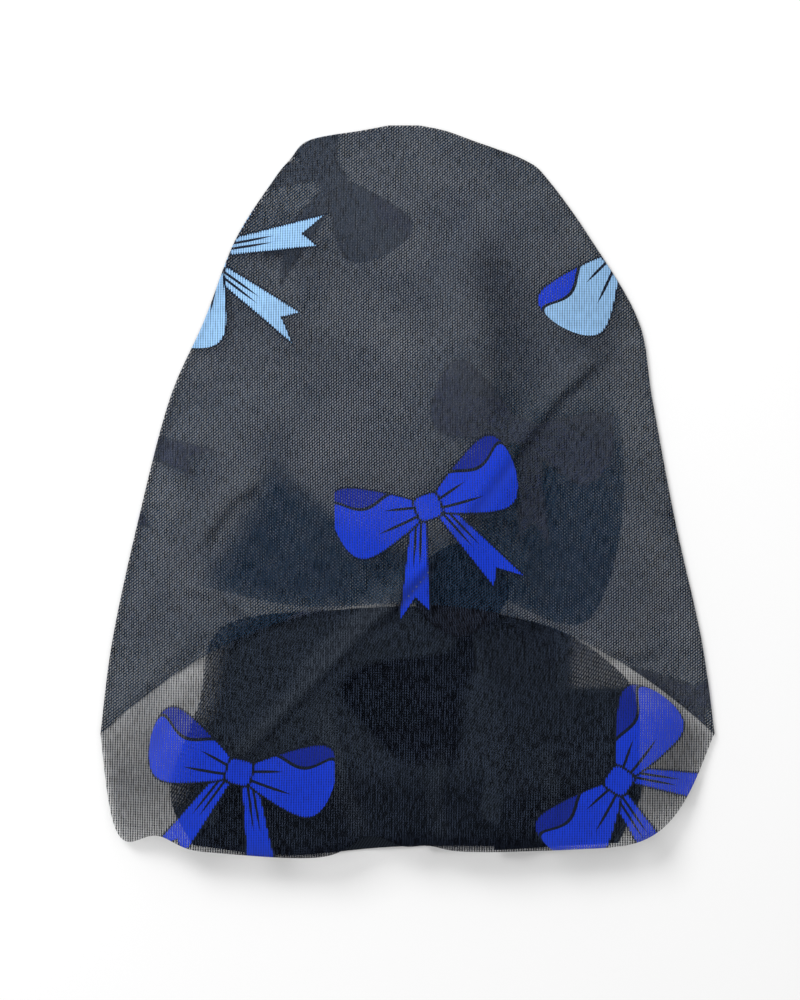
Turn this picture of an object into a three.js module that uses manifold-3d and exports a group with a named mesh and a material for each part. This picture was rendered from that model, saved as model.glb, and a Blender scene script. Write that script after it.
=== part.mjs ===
// Pre-tied bandana of sheer printed knit, lying flat with its front face up.
// Millimetres. z = 0 is the surface that it lies on, +Y runs from the front hem to the top of the
// crown, and +X to the right as seen from above. The origin is the middle of the flat outline.
import * as THREE from 'three';
import Module from 'manifold-3d';

// Driving dimensions
const HALF_WIDTH = 163; // from the middle to a lower corner
const HALF_LENGTH = 194.8; // from the middle to the crown's top, and to the front hem
const CROWN_WALL = 1.2; // knit of the crown's two panels
const HEM_PLY = 0.6; // the edge turned to the inside of the mouth, sewn flat
const HEM_WIDTH = 8;
const STRIP_WALL = 1.5; // ties and tails are sewn double
const SEAT_GAP = 0.35; // clearance where two pieces meet

// How the flat bag stands open
const FOLD_RADIUS = 7; // the two layers part over this distance from a fold
const FOLD_LOFT = 6; // height over both layers just inside a fold
const BODY_LOFT = 16; // height of the front layer over the open middle
const LOFT_REACH = 45; // distance from the folds to the full height
const FOLLOW = 0.45; // share of the rise over a tie that the front layer follows
const FOLD_END = 0.35; // height of a fold at its ends, as a share of its middle
const TOP_TURN = 0.7; // share of the way up where the inner face begins to sink below the top

// Mouth: the front hem hangs below the corners, and the nape edge arches above them
const FRONT_DROP = 62;
const NAPE_RISE = 69;
const MOUTH_FADE = 1.3; // how fast both die away towards the top
const CORNER_POWER = { left: 7, right: 3.6, inside: 2.6 }; // squareness of the hem's corners
const CORNER_FADE = 0.03; // share of the way up over which the corners become round
const NAPE_POWER = 2.2;

// Knot at the nape, a squashed lump with a wrap across it
const KNOT = { x: 27.8, y: -51.7, halfWidth: 26, halfLength: 25, height: 13, power: 1.6, sides: 0.5 };
const KNOT_WRAP = { rise: 1.4, halfWidth: 9, turn: 0.5 };
const KNOT_SWELL = { rise: 5.5, reach: 58 }; // of the front layer over the knot

// Grid of each surface
const CROWN_COLUMNS = 30; // across one layer
const CROWN_ROWS = 27;
const STRIP_ROWS = 12;
const STRIP_COLUMNS = 12;
const KNOT_AROUND = 28;
const KNOT_UP = 12;

// Side folds, from the lower corners to the apex
const OUTLINE = [
  { y: -128, left: HALF_WIDTH, right: HALF_WIDTH },
  { y: -78, left: 156.6, right: 156 },
  { y: -15, left: 143, right: 142 },
  { y: 49, left: 126.4, right: 130 },
  { y: 91, left: 108, right: 122.5 },
  { y: 134, left: 91.4, right: 97.5 },
  { y: 166, left: 71, right: 74.5 },
  { y: 187, left: 52, right: 34 },
  { y: HALF_LENGTH, left: 4, right: -4 },
];

// Waves of the front hem, along the outline
const HEM_WAVES = [
  { x: -58, down: 4.8, halfWidth: 42 },
  { x: -19, down: -4.5, halfWidth: 13 },
  { x: 9, down: -2.5, halfWidth: 10 },
];

// Folds that stand up on the front layer, from end to end
const FRONT_FOLDS = [
  { name: 'knot to right side', x0: 112, y0: 78, x1: 17, y1: -36, rise: 3.2, halfWidth: 8 },
  { name: 'knot to left corner', x0: 12, y0: -40, x1: -94, y1: -147, rise: 3.2, halfWidth: 8 },
  { name: 'left side', x0: -70, y0: 28, x1: -107, y1: -28, rise: 2.6, halfWidth: 9 },
  { name: 'crown', x0: 38, y0: 140, x1: 46, y1: 38, rise: 2.4, halfWidth: 14 },
  { name: 'hem', x0: -19, y0: -190, x1: -22, y1: -130, rise: 2.4, halfWidth: 10 },
];

// Places where the back layer lies over a tie or the knot
const TIE_COVER = 4.2;
const COVER_REACH = 16; // the back layer climbs over this distance from a side seam
const UNDERLAYS = [
  { name: 'right tie', x0: 76, y0: 102, x1: 76, y1: -40, reach: 50, slope: 16, height: TIE_COVER },
  { name: 'left tie', x0: -78, y0: -24, x1: 0, y1: -50, reach: 56, slope: 16, height: TIE_COVER },
  { name: 'knot', x0: KNOT.x, y0: KNOT.y, x1: KNOT.x, y1: KNOT.y, reach: 27, slope: 30, height: 15 },
];

// Ties and tails: the two edges of each strip, from the knot to its far end, edgeA on the right hand
// of the way out
const STRIPS = [
  {
    name: 'tie_left',
    edgeA: [[16, -36], [-8, -28], [-42, -6], [-76, 24]],
    edgeB: [[16, -57], [-12, -62], [-60, -66], [-114, -50]],
    ripples: 3,
  },
  {
    name: 'tie_right',
    edgeA: [[44, -50], [104, -60], [113, 10], [100, 112]],
    edgeB: [[24, -44], [30, -10], [38, 40], [44, 132]],
    ripples: 3,
  },
  {
    name: 'tail_left',
    edgeA: [[20, -64], [-36, -77], [-104, -92], [-116, -140], [-110, -178]],
    edgeB: [[26, -66], [27, -92], [27, -122], [28, -152], [31, -181]],
    ripples: 4,
  },
  {
    name: 'tail_right',
    edgeA: [[30, -66], [46, -98], [55, -130], [52, -158], [44, -181]],
    edgeB: [[38, -65], [82, -86], [122, -106], [126, -146], [116, -172]],
    ripples: 3,
  },
];
const RIPPLE_RISE = 1.3; // height of the gathers along a strip
const RIPPLE_LOSS = 0.4; // share of that height lost at its far end
const ROOT_RISE = 3.2; // a strip climbs this far into the knot
const ROOT_SHARE = 0.2; // over this share of its length

const smooth = (value) => THREE.MathUtils.smoothstep(value, 0, 1);
const hump = (value) => Math.exp(-value * value);
const curve = (points) => new THREE.SplineCurve(points.map(([x, y]) => new THREE.Vector2(x, y)));

const leftFold = curve(OUTLINE.map((row) => [-row.left, row.y]));
const rightFold = curve(OUTLINE.map((row) => [row.right, row.y]));

// Distance from a point to the segment of a table row, and how far along it lies, 0 to 1
function nearSegment(x, y, { x0, y0, x1, y1 }) {
  const dx = x1 - x0;
  const dy = y1 - y0;
  const lengthSquared = dx * dx + dy * dy || 1;
  const along = THREE.MathUtils.clamp(((x - x0) * dx + (y - y0) * dy) / lengthSquared, 0, 1);
  return { along, distance: Math.hypot(x - x0 - along * dx, y - y0 - along * dy) };
}

// Height of the back layer's underside: zero on the surface, more over a tie or the knot
function underlay(x, y) {
  const heights = UNDERLAYS.map((row) => {
    const { distance } = nearSegment(x, y, row);
    return row.height * (1 - smooth((distance - row.reach) / row.slope));
  });
  return Math.max(...heights);
}

// A fold's height along its length, as a share of its middle
const lengthwise = (along) => FOLD_END + (1 - FOLD_END) * Math.sin(Math.PI * along);

// Height of the folds on the front layer, highest half way along each
function frontFolds(x, y) {
  let height = KNOT_SWELL.rise * hump(Math.hypot(x - KNOT.x, y - KNOT.y) / KNOT_SWELL.reach);
  for (const fold of FRONT_FOLDS) {
    const { along, distance } = nearSegment(x, y, fold);
    height += fold.rise * hump(distance / fold.halfWidth) * lengthwise(along);
  }
  return height;
}

// Share of the full opening at a distance from a fold: a quarter round, then flat
function parting(distance) {
  const left = 1 - THREE.MathUtils.clamp(distance / FOLD_RADIUS, 0, 1);
  return Math.sqrt(1 - left * left);
}

// A point of the crown. across runs from -1 at the left side to 1 at the right, up from 0 at the
// mouth to 1 at the apex, and depth is how far into the wall the point lies from its outer face.
// The panels stay a seat gap apart along the seam between them.
function crownPoint(across, up, isFront, depth) {
  const left = leftFold.getPoint(up);
  const right = rightFold.getPoint(up);
  const halfSpan = Math.max((right.x - left.x) / 2 - depth, 0);
  const x = (left.x + right.x) / 2 + across * halfSpan;
  const fade = (1 - up) ** MOUTH_FADE;
  const corner = across < 0 ? CORNER_POWER.left : CORNER_POWER.right;
  const power = CORNER_POWER.inside + (corner - CORNER_POWER.inside) * Math.exp(-up / CORNER_FADE);
  const reach = Math.abs(across);
  const sink = depth * smooth((up - TOP_TURN) / (1 - TOP_TURN));
  let y = left.y - sink;
  if (isFront) {
    const waves = HEM_WAVES.reduce((sum, row) => sum + row.down * hump((x - row.x) / row.halfWidth), 0);
    y -= (1 - reach ** power) ** (1 / power) * (FRONT_DROP + waves * fade * fade) * fade;
  } else {
    y += (1 - reach ** NAPE_POWER) * NAPE_RISE * fade;
  }
  const fromFold = (1 - reach) * halfSpan;
  const fromTop = HALF_LENGTH - depth - left.y + sink;
  const rise = smooth(Math.min(fromFold, fromTop) / LOFT_REACH);
  const under = underlay(x, y) * smooth(Math.min(fromFold, fromTop) / COVER_REACH);
  const followed = FOLLOW * Math.min(under, TIE_COVER);
  const frontOuter = FOLD_LOFT + (BODY_LOFT - FOLD_LOFT + frontFolds(x, y)) * rise + followed;
  const middle = (frontOuter + under) / 2;
  const open = parting(fromFold) * parting(fromTop);
  const halfOpen = THREE.MathUtils.lerp(SEAT_GAP / 2, (frontOuter - under) / 2 - depth, open);
  return [x, y, isFront ? middle + halfOpen : middle - halfOpen];
}

// Even steps from -1 to 1, drawn closer together towards both folds
const towardsFolds = (even) => even * (1.5 - 0.5 * even * even);

// One row of a panel: the front from left to right, the back from right to left
function panelRow(up, isFront, depth) {
  return Array.from({ length: CROWN_COLUMNS + 1 }, (_, i) => {
    const even = (2 * i) / CROWN_COLUMNS - 1;
    return crownPoint(towardsFolds(isFront ? even : -even), up, isFront, depth);
  });
}

// One closed ring round the crown, front row and then back row
const crownRing = (up, depth) =>
  [true, false].flatMap((isFront) => panelRow(up, isFront, depth).slice(0, CROWN_COLUMNS));

// A mesh from points and triangles, each made of plain arrays
function solidGeometry(points, triangles) {
  const geometry = new THREE.BufferGeometry();
  geometry.setAttribute('position', new THREE.Float32BufferAttribute(points.flat(), 3));
  geometry.setIndex(triangles.flat());
  geometry.computeVertexNormals();
  return geometry;
}

// Joins rows of count points into a band of triangles; the first point of row k is starts[k].
// isFlipped cuts each quad along its other diagonal, and isClosed joins each row's end to its start.
function bandTriangles(starts, count, { isFlipped = false, isClosed = true } = {}) {
  const triangles = [];
  const quads = isClosed ? count : count - 1;
  for (let k = 0; k + 1 < starts.length; k += 1) {
    for (let i = 0; i < quads; i += 1) {
      const next = (i + 1) % count;
      const [a, b] = [starts[k] + i, starts[k] + next];
      const [c, d] = [starts[k + 1] + i, starts[k + 1] + next];
      triangles.push(...(isFlipped ? [[a, b, c], [b, d, c]] : [[a, b, d], [a, d, c]]));
    }
  }
  return triangles;
}

// Share of the way up at the inner edge of the turned hem
const HEM_TOP = HEM_WIDTH / ((OUTLINE[1].y - OUTLINE[0].y) * (OUTLINE.length - 1));

// Joins two lines of points of equal length by a strip of triangles
function edgeTriangles(lineA, lineB) {
  return lineA.slice(1).flatMap((next, k) => [
    [lineA[k], next, lineB[k + 1]],
    [lineA[k], lineB[k + 1], lineB[k]],
  ]);
}

// Panel of the crown: outer face, inner face, and the edges between them at the mouth and the seam
function panelGeometry(isFront) {
  const count = CROWN_COLUMNS + 1;
  const upper = Array.from({ length: CROWN_ROWS }, (_, k) => HEM_TOP + ((1 - HEM_TOP) * k) / CROWN_ROWS);
  const levels = [0, ...upper];
  const inner = levels.map((up) => panelRow(up, isFront, CROWN_WALL)).reverse();
  const outer = levels.map((up) => panelRow(up, isFront, 0));
  const points = [...inner, ...outer].flat();
  const starts = Array.from({ length: 2 * levels.length }, (_, k) => k * count);
  const innerStarts = starts.slice(0, levels.length);
  const outerStarts = starts.slice(levels.length);
  const [innerApex, outerApex] = [points.length, points.length + 1];
  points.push(crownPoint(0, 1, isFront, CROWN_WALL), crownPoint(0, 1, isFront, 0));
  const triangles = [
    ...bandTriangles(innerStarts, count, { isFlipped: true, isClosed: false }),
    ...bandTriangles([innerStarts.at(-1), ...outerStarts], count, { isClosed: false }),
  ];
  for (let i = 0; i + 1 < count; i += 1) {
    triangles.push([i + 1, i, innerApex], [outerStarts.at(-1) + i, outerStarts.at(-1) + i + 1, outerApex]);
  }
  const innerRising = innerStarts.toReversed();
  const side = (rows, i, apex) => [...rows.map((first) => first + i), apex];
  const seam = (i) => [side(outerStarts, i, outerApex), side(innerRising, i, innerApex)];
  const [outerEnd, innerEnd] = seam(count - 1);
  triangles.push(...edgeTriangles(...seam(0)));
  triangles.push(...edgeTriangles(outerEnd.toReversed(), innerEnd.toReversed()));
  return solidGeometry(points, triangles);
}

// Hem: the turned edge, a closed band that lies against the panels' inner faces all round the mouth
function hemGeometry() {
  const count = 2 * CROWN_COLUMNS;
  const outside = CROWN_WALL + SEAT_GAP;
  const inside = outside + HEM_PLY;
  const section = [[0, outside], [HEM_TOP, outside], [HEM_TOP, inside], [0, inside]];
  const points = section.flatMap(([up, depth]) => crownRing(up, depth));
  const outerFace = bandTriangles([0, count, 2 * count], count);
  const innerFace = bandTriangles([2 * count, 3 * count], count, { isFlipped: true });
  const mouthEdge = bandTriangles([3 * count, 0], count);
  return solidGeometry(points, [...outerFace, ...innerFace, ...mouthEdge]);
}

// Strip of doubled cloth between two edges: it lies on the surface in soft gathers and climbs to the knot
function stripGeometry({ edgeA, edgeB, ripples }) {
  const [sideA, sideB] = [curve(edgeA), curve(edgeB)];
  const count = STRIP_COLUMNS + 1;
  const grid = (rise) => {
    const points = [];
    for (let k = 0; k <= STRIP_ROWS; k += 1) {
      const along = k / STRIP_ROWS;
      const [a, b] = [sideA.getPoint(along), sideB.getPoint(along)];
      const root = ROOT_RISE * (1 - smooth(along / ROOT_SHARE));
      for (let i = 0; i < count; i += 1) {
        const across = i / STRIP_COLUMNS;
        const gather = RIPPLE_RISE * Math.sin(Math.PI * ripples * across) ** 2 * (1 - RIPPLE_LOSS * along);
        points.push([a.x + (b.x - a.x) * across, a.y + (b.y - a.y) * across, root + gather + rise]);
      }
    }
    return points;
  };
  const points = [...grid(0), ...grid(STRIP_WALL)];
  const upper = points.length / 2;
  const triangles = [];
  for (let k = 0; k < STRIP_ROWS; k += 1) {
    for (let i = 0; i < STRIP_COLUMNS; i += 1) {
      const a = k * count + i;
      triangles.push([a, a + 1, a + count + 1], [a, a + count + 1, a + count]);
      const e = upper + a;
      triangles.push([e, e + count + 1, e + 1], [e, e + count, e + count + 1]);
    }
  }
  const rim = [];
  for (let i = 0; i < STRIP_COLUMNS; i += 1) rim.push(i);
  for (let k = 0; k < STRIP_ROWS; k += 1) rim.push(k * count + STRIP_COLUMNS);
  for (let i = STRIP_COLUMNS; i > 0; i -= 1) rim.push(STRIP_ROWS * count + i);
  for (let k = STRIP_ROWS; k > 0; k -= 1) rim.push(k * count);
  rim.forEach((a, n) => {
    const b = rim[(n + 1) % rim.length];
    triangles.push([a, upper + b, b], [a, upper + a, upper + b]);
  });
  return solidGeometry(points, triangles);
}

// Knot: a flattened lump with a diamond plan and one raised wrap, grown all round by margin
function knotGeometry(margin) {
  const points = [];
  for (let k = 1; k < KNOT_UP; k += 1) {
    const tilt = Math.PI * (k / KNOT_UP - 0.5);
    for (let i = 0; i < KNOT_AROUND; i += 1) {
      const turn = (2 * Math.PI * i) / KNOT_AROUND;
      const [c, s] = [Math.cos(turn), Math.sin(turn)];
      const plan = (Math.abs(c) ** KNOT.power + Math.abs(s) ** KNOT.power) ** (-1 / KNOT.power);
      const radius = plan * Math.cos(tilt) ** KNOT.sides;
      const x = c * radius * (KNOT.halfWidth + margin);
      const y = s * radius * (KNOT.halfLength + margin);
      const offWrap = x * Math.sin(KNOT_WRAP.turn) + y * Math.cos(KNOT_WRAP.turn);
      const wrap = KNOT_WRAP.rise * hump(offWrap / KNOT_WRAP.halfWidth) * smooth(tilt);
      const z = (KNOT.height / 2) * (1 + Math.sin(tilt)) + margin * Math.sin(tilt) + wrap;
      points.push([KNOT.x + x, KNOT.y + y, z]);
    }
  }
  const starts = Array.from({ length: KNOT_UP - 1 }, (_, k) => k * KNOT_AROUND);
  const triangles = bandTriangles(starts, KNOT_AROUND);
  const bottom = points.length;
  points.push([KNOT.x, KNOT.y, -margin], [KNOT.x, KNOT.y, KNOT.height + KNOT_WRAP.rise + margin]);
  const last = starts[starts.length - 1];
  for (let i = 0; i < KNOT_AROUND; i += 1) {
    const next = (i + 1) % KNOT_AROUND;
    triangles.push([next, i, bottom], [last + i, last + next, bottom + 1]);
  }
  return solidGeometry(points, triangles);
}

const wasm = await Module();
wasm.setup();

// A closed geometry as a solid that can be cut
function toSolid(geometry) {
  return new wasm.Manifold(
    new wasm.Mesh({
      numProp: 3,
      vertProperties: geometry.getAttribute('position').array,
      triVerts: new Uint32Array(geometry.getIndex().array),
    }),
  );
}

// One geometry less another
function cutGeometry(geometry, cutter) {
  const mesh = toSolid(geometry).subtract(toSolid(cutter)).getMesh();
  const cut = new THREE.BufferGeometry();
  cut.setAttribute('position', new THREE.BufferAttribute(mesh.vertProperties, 3));
  cut.setIndex(new THREE.BufferAttribute(mesh.triVerts, 1));
  cut.computeVertexNormals();
  return cut;
}

// Cloth colours
const KNIT = { color: 0x3a424d, roughness: 0.92, metalness: 0 };
const TURNED_KNIT = { color: 0x2c333d, roughness: 0.92, metalness: 0 };
const DOUBLED_KNIT = { color: 0x242b36, roughness: 0.92, metalness: 0 };

const bandana = new THREE.Group();

function addPiece(name, geometry, finish) {
  const piece = new THREE.Mesh(geometry, new THREE.MeshStandardMaterial(finish));
  piece.name = name;
  bandana.add(piece);
}

addPiece('crown_front', panelGeometry(true), KNIT);
addPiece('crown_back', panelGeometry(false), KNIT);
addPiece('hem', hemGeometry(), TURNED_KNIT);
addPiece('knot', knotGeometry(0), DOUBLED_KNIT);
const knotRoom = knotGeometry(SEAT_GAP);
for (const strip of STRIPS) {
  addPiece(strip.name, cutGeometry(stripGeometry(strip), knotRoom), DOUBLED_KNIT);
}

export default bandana;
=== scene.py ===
"""Pre-tied bandana of sheer printed knit, laid flat with its front up and seen from above.

Metres. z = 0 is the surface that it lies on, +Y runs from the front hem to the top of the crown,
and +X to the right as seen from above. Every surface is a function of two parameters on a grid.
"""

import logging
from dataclasses import dataclass, field
from enum import Enum

import bpy
import numpy as np
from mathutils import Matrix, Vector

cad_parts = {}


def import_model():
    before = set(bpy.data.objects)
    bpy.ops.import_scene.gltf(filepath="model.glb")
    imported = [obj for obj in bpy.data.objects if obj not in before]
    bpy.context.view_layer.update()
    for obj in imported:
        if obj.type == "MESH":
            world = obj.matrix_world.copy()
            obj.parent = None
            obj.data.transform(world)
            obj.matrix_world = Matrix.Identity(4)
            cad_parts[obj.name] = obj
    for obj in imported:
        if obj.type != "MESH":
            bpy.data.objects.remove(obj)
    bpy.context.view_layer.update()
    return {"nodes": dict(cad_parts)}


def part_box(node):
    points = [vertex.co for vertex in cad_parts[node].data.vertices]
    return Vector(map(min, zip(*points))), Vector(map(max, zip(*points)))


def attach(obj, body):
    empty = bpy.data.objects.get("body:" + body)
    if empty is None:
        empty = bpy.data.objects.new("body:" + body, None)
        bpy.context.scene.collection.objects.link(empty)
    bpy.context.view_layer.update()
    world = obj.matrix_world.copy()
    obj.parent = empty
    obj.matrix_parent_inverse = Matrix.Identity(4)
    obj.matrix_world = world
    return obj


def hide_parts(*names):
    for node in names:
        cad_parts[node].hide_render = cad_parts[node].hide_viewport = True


LOG = logging.getLogger("bandana")
# Names of what the meshes carry for their finishes
CLOTH_UV = "cloth"
# Crowding of the yarns: it closes holes and darkens them as painted shade; below 0 the cloth thins
CROWD_AND_SHADE = "gather"
# Share of painted highlight on the ridges of creases
CREST_HIGHLIGHT = "crest_highlight"
SHOW = "show"

Array = np.ndarray
Colour = tuple[float, float, float]


class Layer(Enum):
    """The two layers of the flat crown, with the side of the opening that each lies on."""

    FRONT = 1
    BACK = -1


class Face(Enum):
    """The two faces of the knit: the printed one, and the one where the print shows through."""

    PRINT = "print"
    REVERSE = "reverse"


class Held(Enum):
    """How a strip of cloth is held."""

    GATHERED = "gathered"
    LAID = "laid"


def smooth(value: Array) -> Array:
    """Rises from 0 to 1 with level ends, as 3t squared less 2t cubed of the value held to 0..1."""
    held = np.clip(value, 0.0, 1.0)
    return held * held * (3.0 - 2.0 * held)


def hump(value: Array) -> Array:
    """A bell of height 1: e to the power of less the value squared."""
    return np.exp(-value * value)


def spline(points: Array, share: Array) -> Array:
    """Points on a curve through given points, each stretch a cubic with central slopes.

    Args:
        points: One row per given point.
        share: How far along the curve, 0 to 1, by count of points.

    Returns:
        One row per share, with as many columns as the given points.
    """
    last = len(points) - 1
    place = np.clip(share, 0.0, 1.0) * last
    start = np.minimum(np.floor(place).astype(int), last - 1)
    part = (place - start)[..., None]
    before, here = points[np.maximum(start - 1, 0)], points[start]
    after, beyond = points[start + 1], points[np.minimum(start + 2, last)]
    slope_here, slope_after = (after - before) / 2, (beyond - here) / 2
    cube = 2 * here - 2 * after + slope_here + slope_after
    square = 3 * after - 3 * here - 2 * slope_here - slope_after
    return ((cube * part + square) * part + slope_here) * part + here


def near_path(x: Array, y: Array, path: Array) -> tuple[Array, Array, Array]:
    """Nearest place on a path of straight stretches, for each plan point.

    Each stretch takes the point's projection held to its ends, and the closest stretch wins.

    Args:
        x: Plan places.
        y: Plan places, of the same shape.
        path: One row per corner of the path.

    Returns:
        How far along the path, 0 to 1; the distance; and the distance with a sign, more than zero
        on the left hand of the way along.
    """
    steps = np.diff(path, axis=0)
    lengths = np.hypot(steps[:, 0], steps[:, 1])
    starts = np.concatenate(([0.0], np.cumsum(lengths)[:-1]))
    dx = x[..., None] - path[:-1, 0]
    dy = y[..., None] - path[:-1, 1]
    part = np.clip((dx * steps[:, 0] + dy * steps[:, 1]) / np.maximum(lengths, 1e-9) ** 2, 0.0, 1.0)
    away = np.hypot(dx - part * steps[:, 0], dy - part * steps[:, 1])
    best = np.argmin(away, axis=-1)[..., None]
    along = np.take_along_axis(starts + part * lengths, best, -1)[..., 0] / lengths.sum()
    distance = np.take_along_axis(away, best, -1)[..., 0]
    side = np.take_along_axis(steps[:, 0] * dy - steps[:, 1] * dx, best, -1)[..., 0]
    return along, distance, np.where(side >= 0, distance, -distance)


@dataclass(frozen=True)
class Fold:
    """A soft ridge along a path, highest half way: a bell across, a sine along."""

    path: tuple[tuple[float, float], ...]
    rise: float
    half_width: float
    end: float = 0.35

    def height(self, x: Array, y: Array) -> Array:
        """Height of the ridge over each plan point.

        Args:
            x: Plan places.
            y: Plan places, of the same shape.

        Returns:
            The bell across the path times the sine along it.
        """
        along, distance, _ = near_path(x, y, np.array(self.path))
        arch = self.end + (1 - self.end) * np.sin(np.pi * along)
        return self.rise * hump(distance / self.half_width) * arch


@dataclass(frozen=True)
class Crease:
    """A sharp fold: a narrow trough along a path, with a rounder ridge on its left hand.

    Both are bells across the path that fade to its ends. The yarns crowd together in the trough,
    darkened there as painted shade, and the ridge gets a painted highlight.
    """

    path: tuple[tuple[float, float], ...]
    rise: float
    half_width: float
    # Shares of crowding, with painted shade, in the trough, and of painted highlight on the ridge
    crowd: float = 0.6
    crest_highlight: float = 0.5
    ridge_width: float = 1.8
    depth: float = 0.7
    fade: float = 0.18

    def _profile(self, x: Array, y: Array) -> tuple[Array, Array]:
        """The ridge and the trough: bells across the path, with the ridge off to its left hand.

        Args:
            x: Plan places.
            y: Plan places, of the same shape.

        Returns:
            The ridge and the trough over each point, 0 to 1.
        """
        along, _, side = near_path(x, y, np.array(self.path))
        ends = smooth(np.minimum(along, 1 - along) / self.fade)
        across = side / self.half_width
        return hump(across / self.ridge_width - 1.0) * ends, hump(across) * ends

    def height(self, x: Array, y: Array) -> Array:
        """Height over each plan point: the ridge less a share of the trough."""
        ridge, trough = self._profile(x, y)
        return self.rise * (ridge - self.depth * trough)

    def tone(self, x: Array, y: Array) -> tuple[Array, Array]:
        """Crowding with painted shade in the trough, and the painted highlight on the ridge, at
        each point.
        """
        ridge, trough = self._profile(x, y)
        return self.crowd * trough, self.crest_highlight * ridge * (1 - trough)


@dataclass(frozen=True)
class Cover:
    """Something under the back layer: level within reach of a path, then a smooth slope down."""

    path: tuple[tuple[float, float], ...]
    reach: float
    slope: float
    rise: float

    def height(self, x: Array, y: Array) -> Array:
        """Height that it lifts the back layer to, over each plan point."""
        distance = near_path(x, y, np.array(self.path))[1]
        return self.rise * (1 - smooth((distance - self.reach) / self.slope))


class MeshBuilder:
    """Collects points and faces as whole arrays, and makes one mesh of them."""

    def __init__(self) -> None:
        """Starts empty."""
        self._points: list[Array] = []
        self._count = 0
        self._corners: list[Array] = []
        self._sizes: list[Array] = []
        self._uv: list[Array] = []
        self._slots: list[Array] = []

    def add_points(self, points: Array) -> Array:
        """Adds points.

        Args:
            points: Points, of any shape with a last axis of 3.

        Returns:
            Their numbers, in an array of the points' own shape.
        """
        flat = points.reshape(-1, 3)
        numbers = np.arange(self._count, self._count + len(flat)).reshape(points.shape[:-1])
        self._points.append(flat)
        self._count += len(flat)
        return numbers

    def _add(self, corners: Array, uv: Array, slot: int) -> None:
        """Adds faces.

        Args:
            corners: One row of corner numbers for each face.
            uv: The cloth's place at each corner.
            slot: Material slot.
        """
        self._corners.append(corners.reshape(-1))
        self._sizes.append(np.full(len(corners), corners.shape[1]))
        self._uv.append(uv.reshape(-1, 2))
        self._slots.append(np.full(len(corners), slot))

    def add_grid(self, numbers: Array, uv: Array, slot: int = 0, flip: bool = False) -> None:
        """Joins a grid of points by four-sided faces.

        Args:
            numbers: Point numbers, rows by columns. A face turns from its first column to the next,
                then to the next row.
            uv: Place on the flat cloth of each point, rows by columns by 2.
            slot: Material slot.
            flip: Whether the faces turn the other way.
        """
        order = [(0, 0), (0, 1), (1, 1), (1, 0)]
        rows, columns = numbers.shape[0] - 1, numbers.shape[1] - 1
        corners = [numbers[r : r + rows, c : c + columns].reshape(-1) for r, c in order]
        places = [uv[r : r + rows, c : c + columns].reshape(-1, 2) for r, c in order]
        if flip:
            corners, places = corners[::-1], places[::-1]
        self._add(np.stack(corners, axis=1), np.stack(places, axis=1), slot)

    def add_fan(self, line: Array, tip: int, uv: Array, tip_uv: Array, flip: bool) -> None:
        """Joins a line of points to one tip by triangles.

        Args:
            line: Point numbers along the line.
            tip: Point number of the tip.
            uv: Place on the flat cloth of each point of the line.
            tip_uv: Place on the flat cloth of the tip.
            flip: Whether the faces turn against the line.
        """
        corners = np.stack([line[:-1], line[1:], np.full(len(line) - 1, tip)], axis=1)
        places = np.stack([uv[:-1], uv[1:], np.broadcast_to(tip_uv, uv[1:].shape)], axis=1)
        if flip:
            corners, places = corners[:, ::-1], places[:, ::-1]
        self._add(corners, places, 0)

    def build(
        self,
        name: str,
        materials: list[bpy.types.Material],
        tones: dict[str, Array] | None = None,
    ) -> bpy.types.Object:
        """Makes the object, at the origin, and links it to the scene.

        Args:
            name: Name of the piece.
            materials: One per slot.
            tones: Numbers at the points, by name, that the finishes read.

        Returns:
            The new object.
        """
        points = np.concatenate(self._points).astype(np.float32)
        sizes = np.concatenate(self._sizes)
        corners = np.concatenate(self._corners).astype(np.int32)
        mesh = bpy.data.meshes.new(name)
        mesh.vertices.add(len(points))
        mesh.vertices.foreach_set("co", points.ravel())
        mesh.loops.add(len(corners))
        mesh.loops.foreach_set("vertex_index", corners)
        mesh.polygons.add(len(sizes))
        mesh.polygons.foreach_set("loop_start", (np.cumsum(sizes) - sizes).astype(np.int32))
        mesh.polygons.foreach_set("material_index", np.concatenate(self._slots).astype(np.int32))
        mesh.polygons.foreach_set("use_smooth", np.ones(len(sizes), dtype=bool))
        mesh.update(calc_edges=True)
        places = mesh.uv_layers.new(name=CLOTH_UV)
        places.uv.foreach_set("vector", np.concatenate(self._uv).astype(np.float32).ravel())
        for label, values in (tones or {}).items():
            store = mesh.attributes.new(label, "FLOAT", "POINT")
            store.data.foreach_set("value", values.astype(np.float32))
        for material in materials:
            mesh.materials.append(material)
        mesh.validate()
        piece = bpy.data.objects.new(name, mesh)
        bpy.context.scene.collection.objects.link(piece)
        return piece


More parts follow.
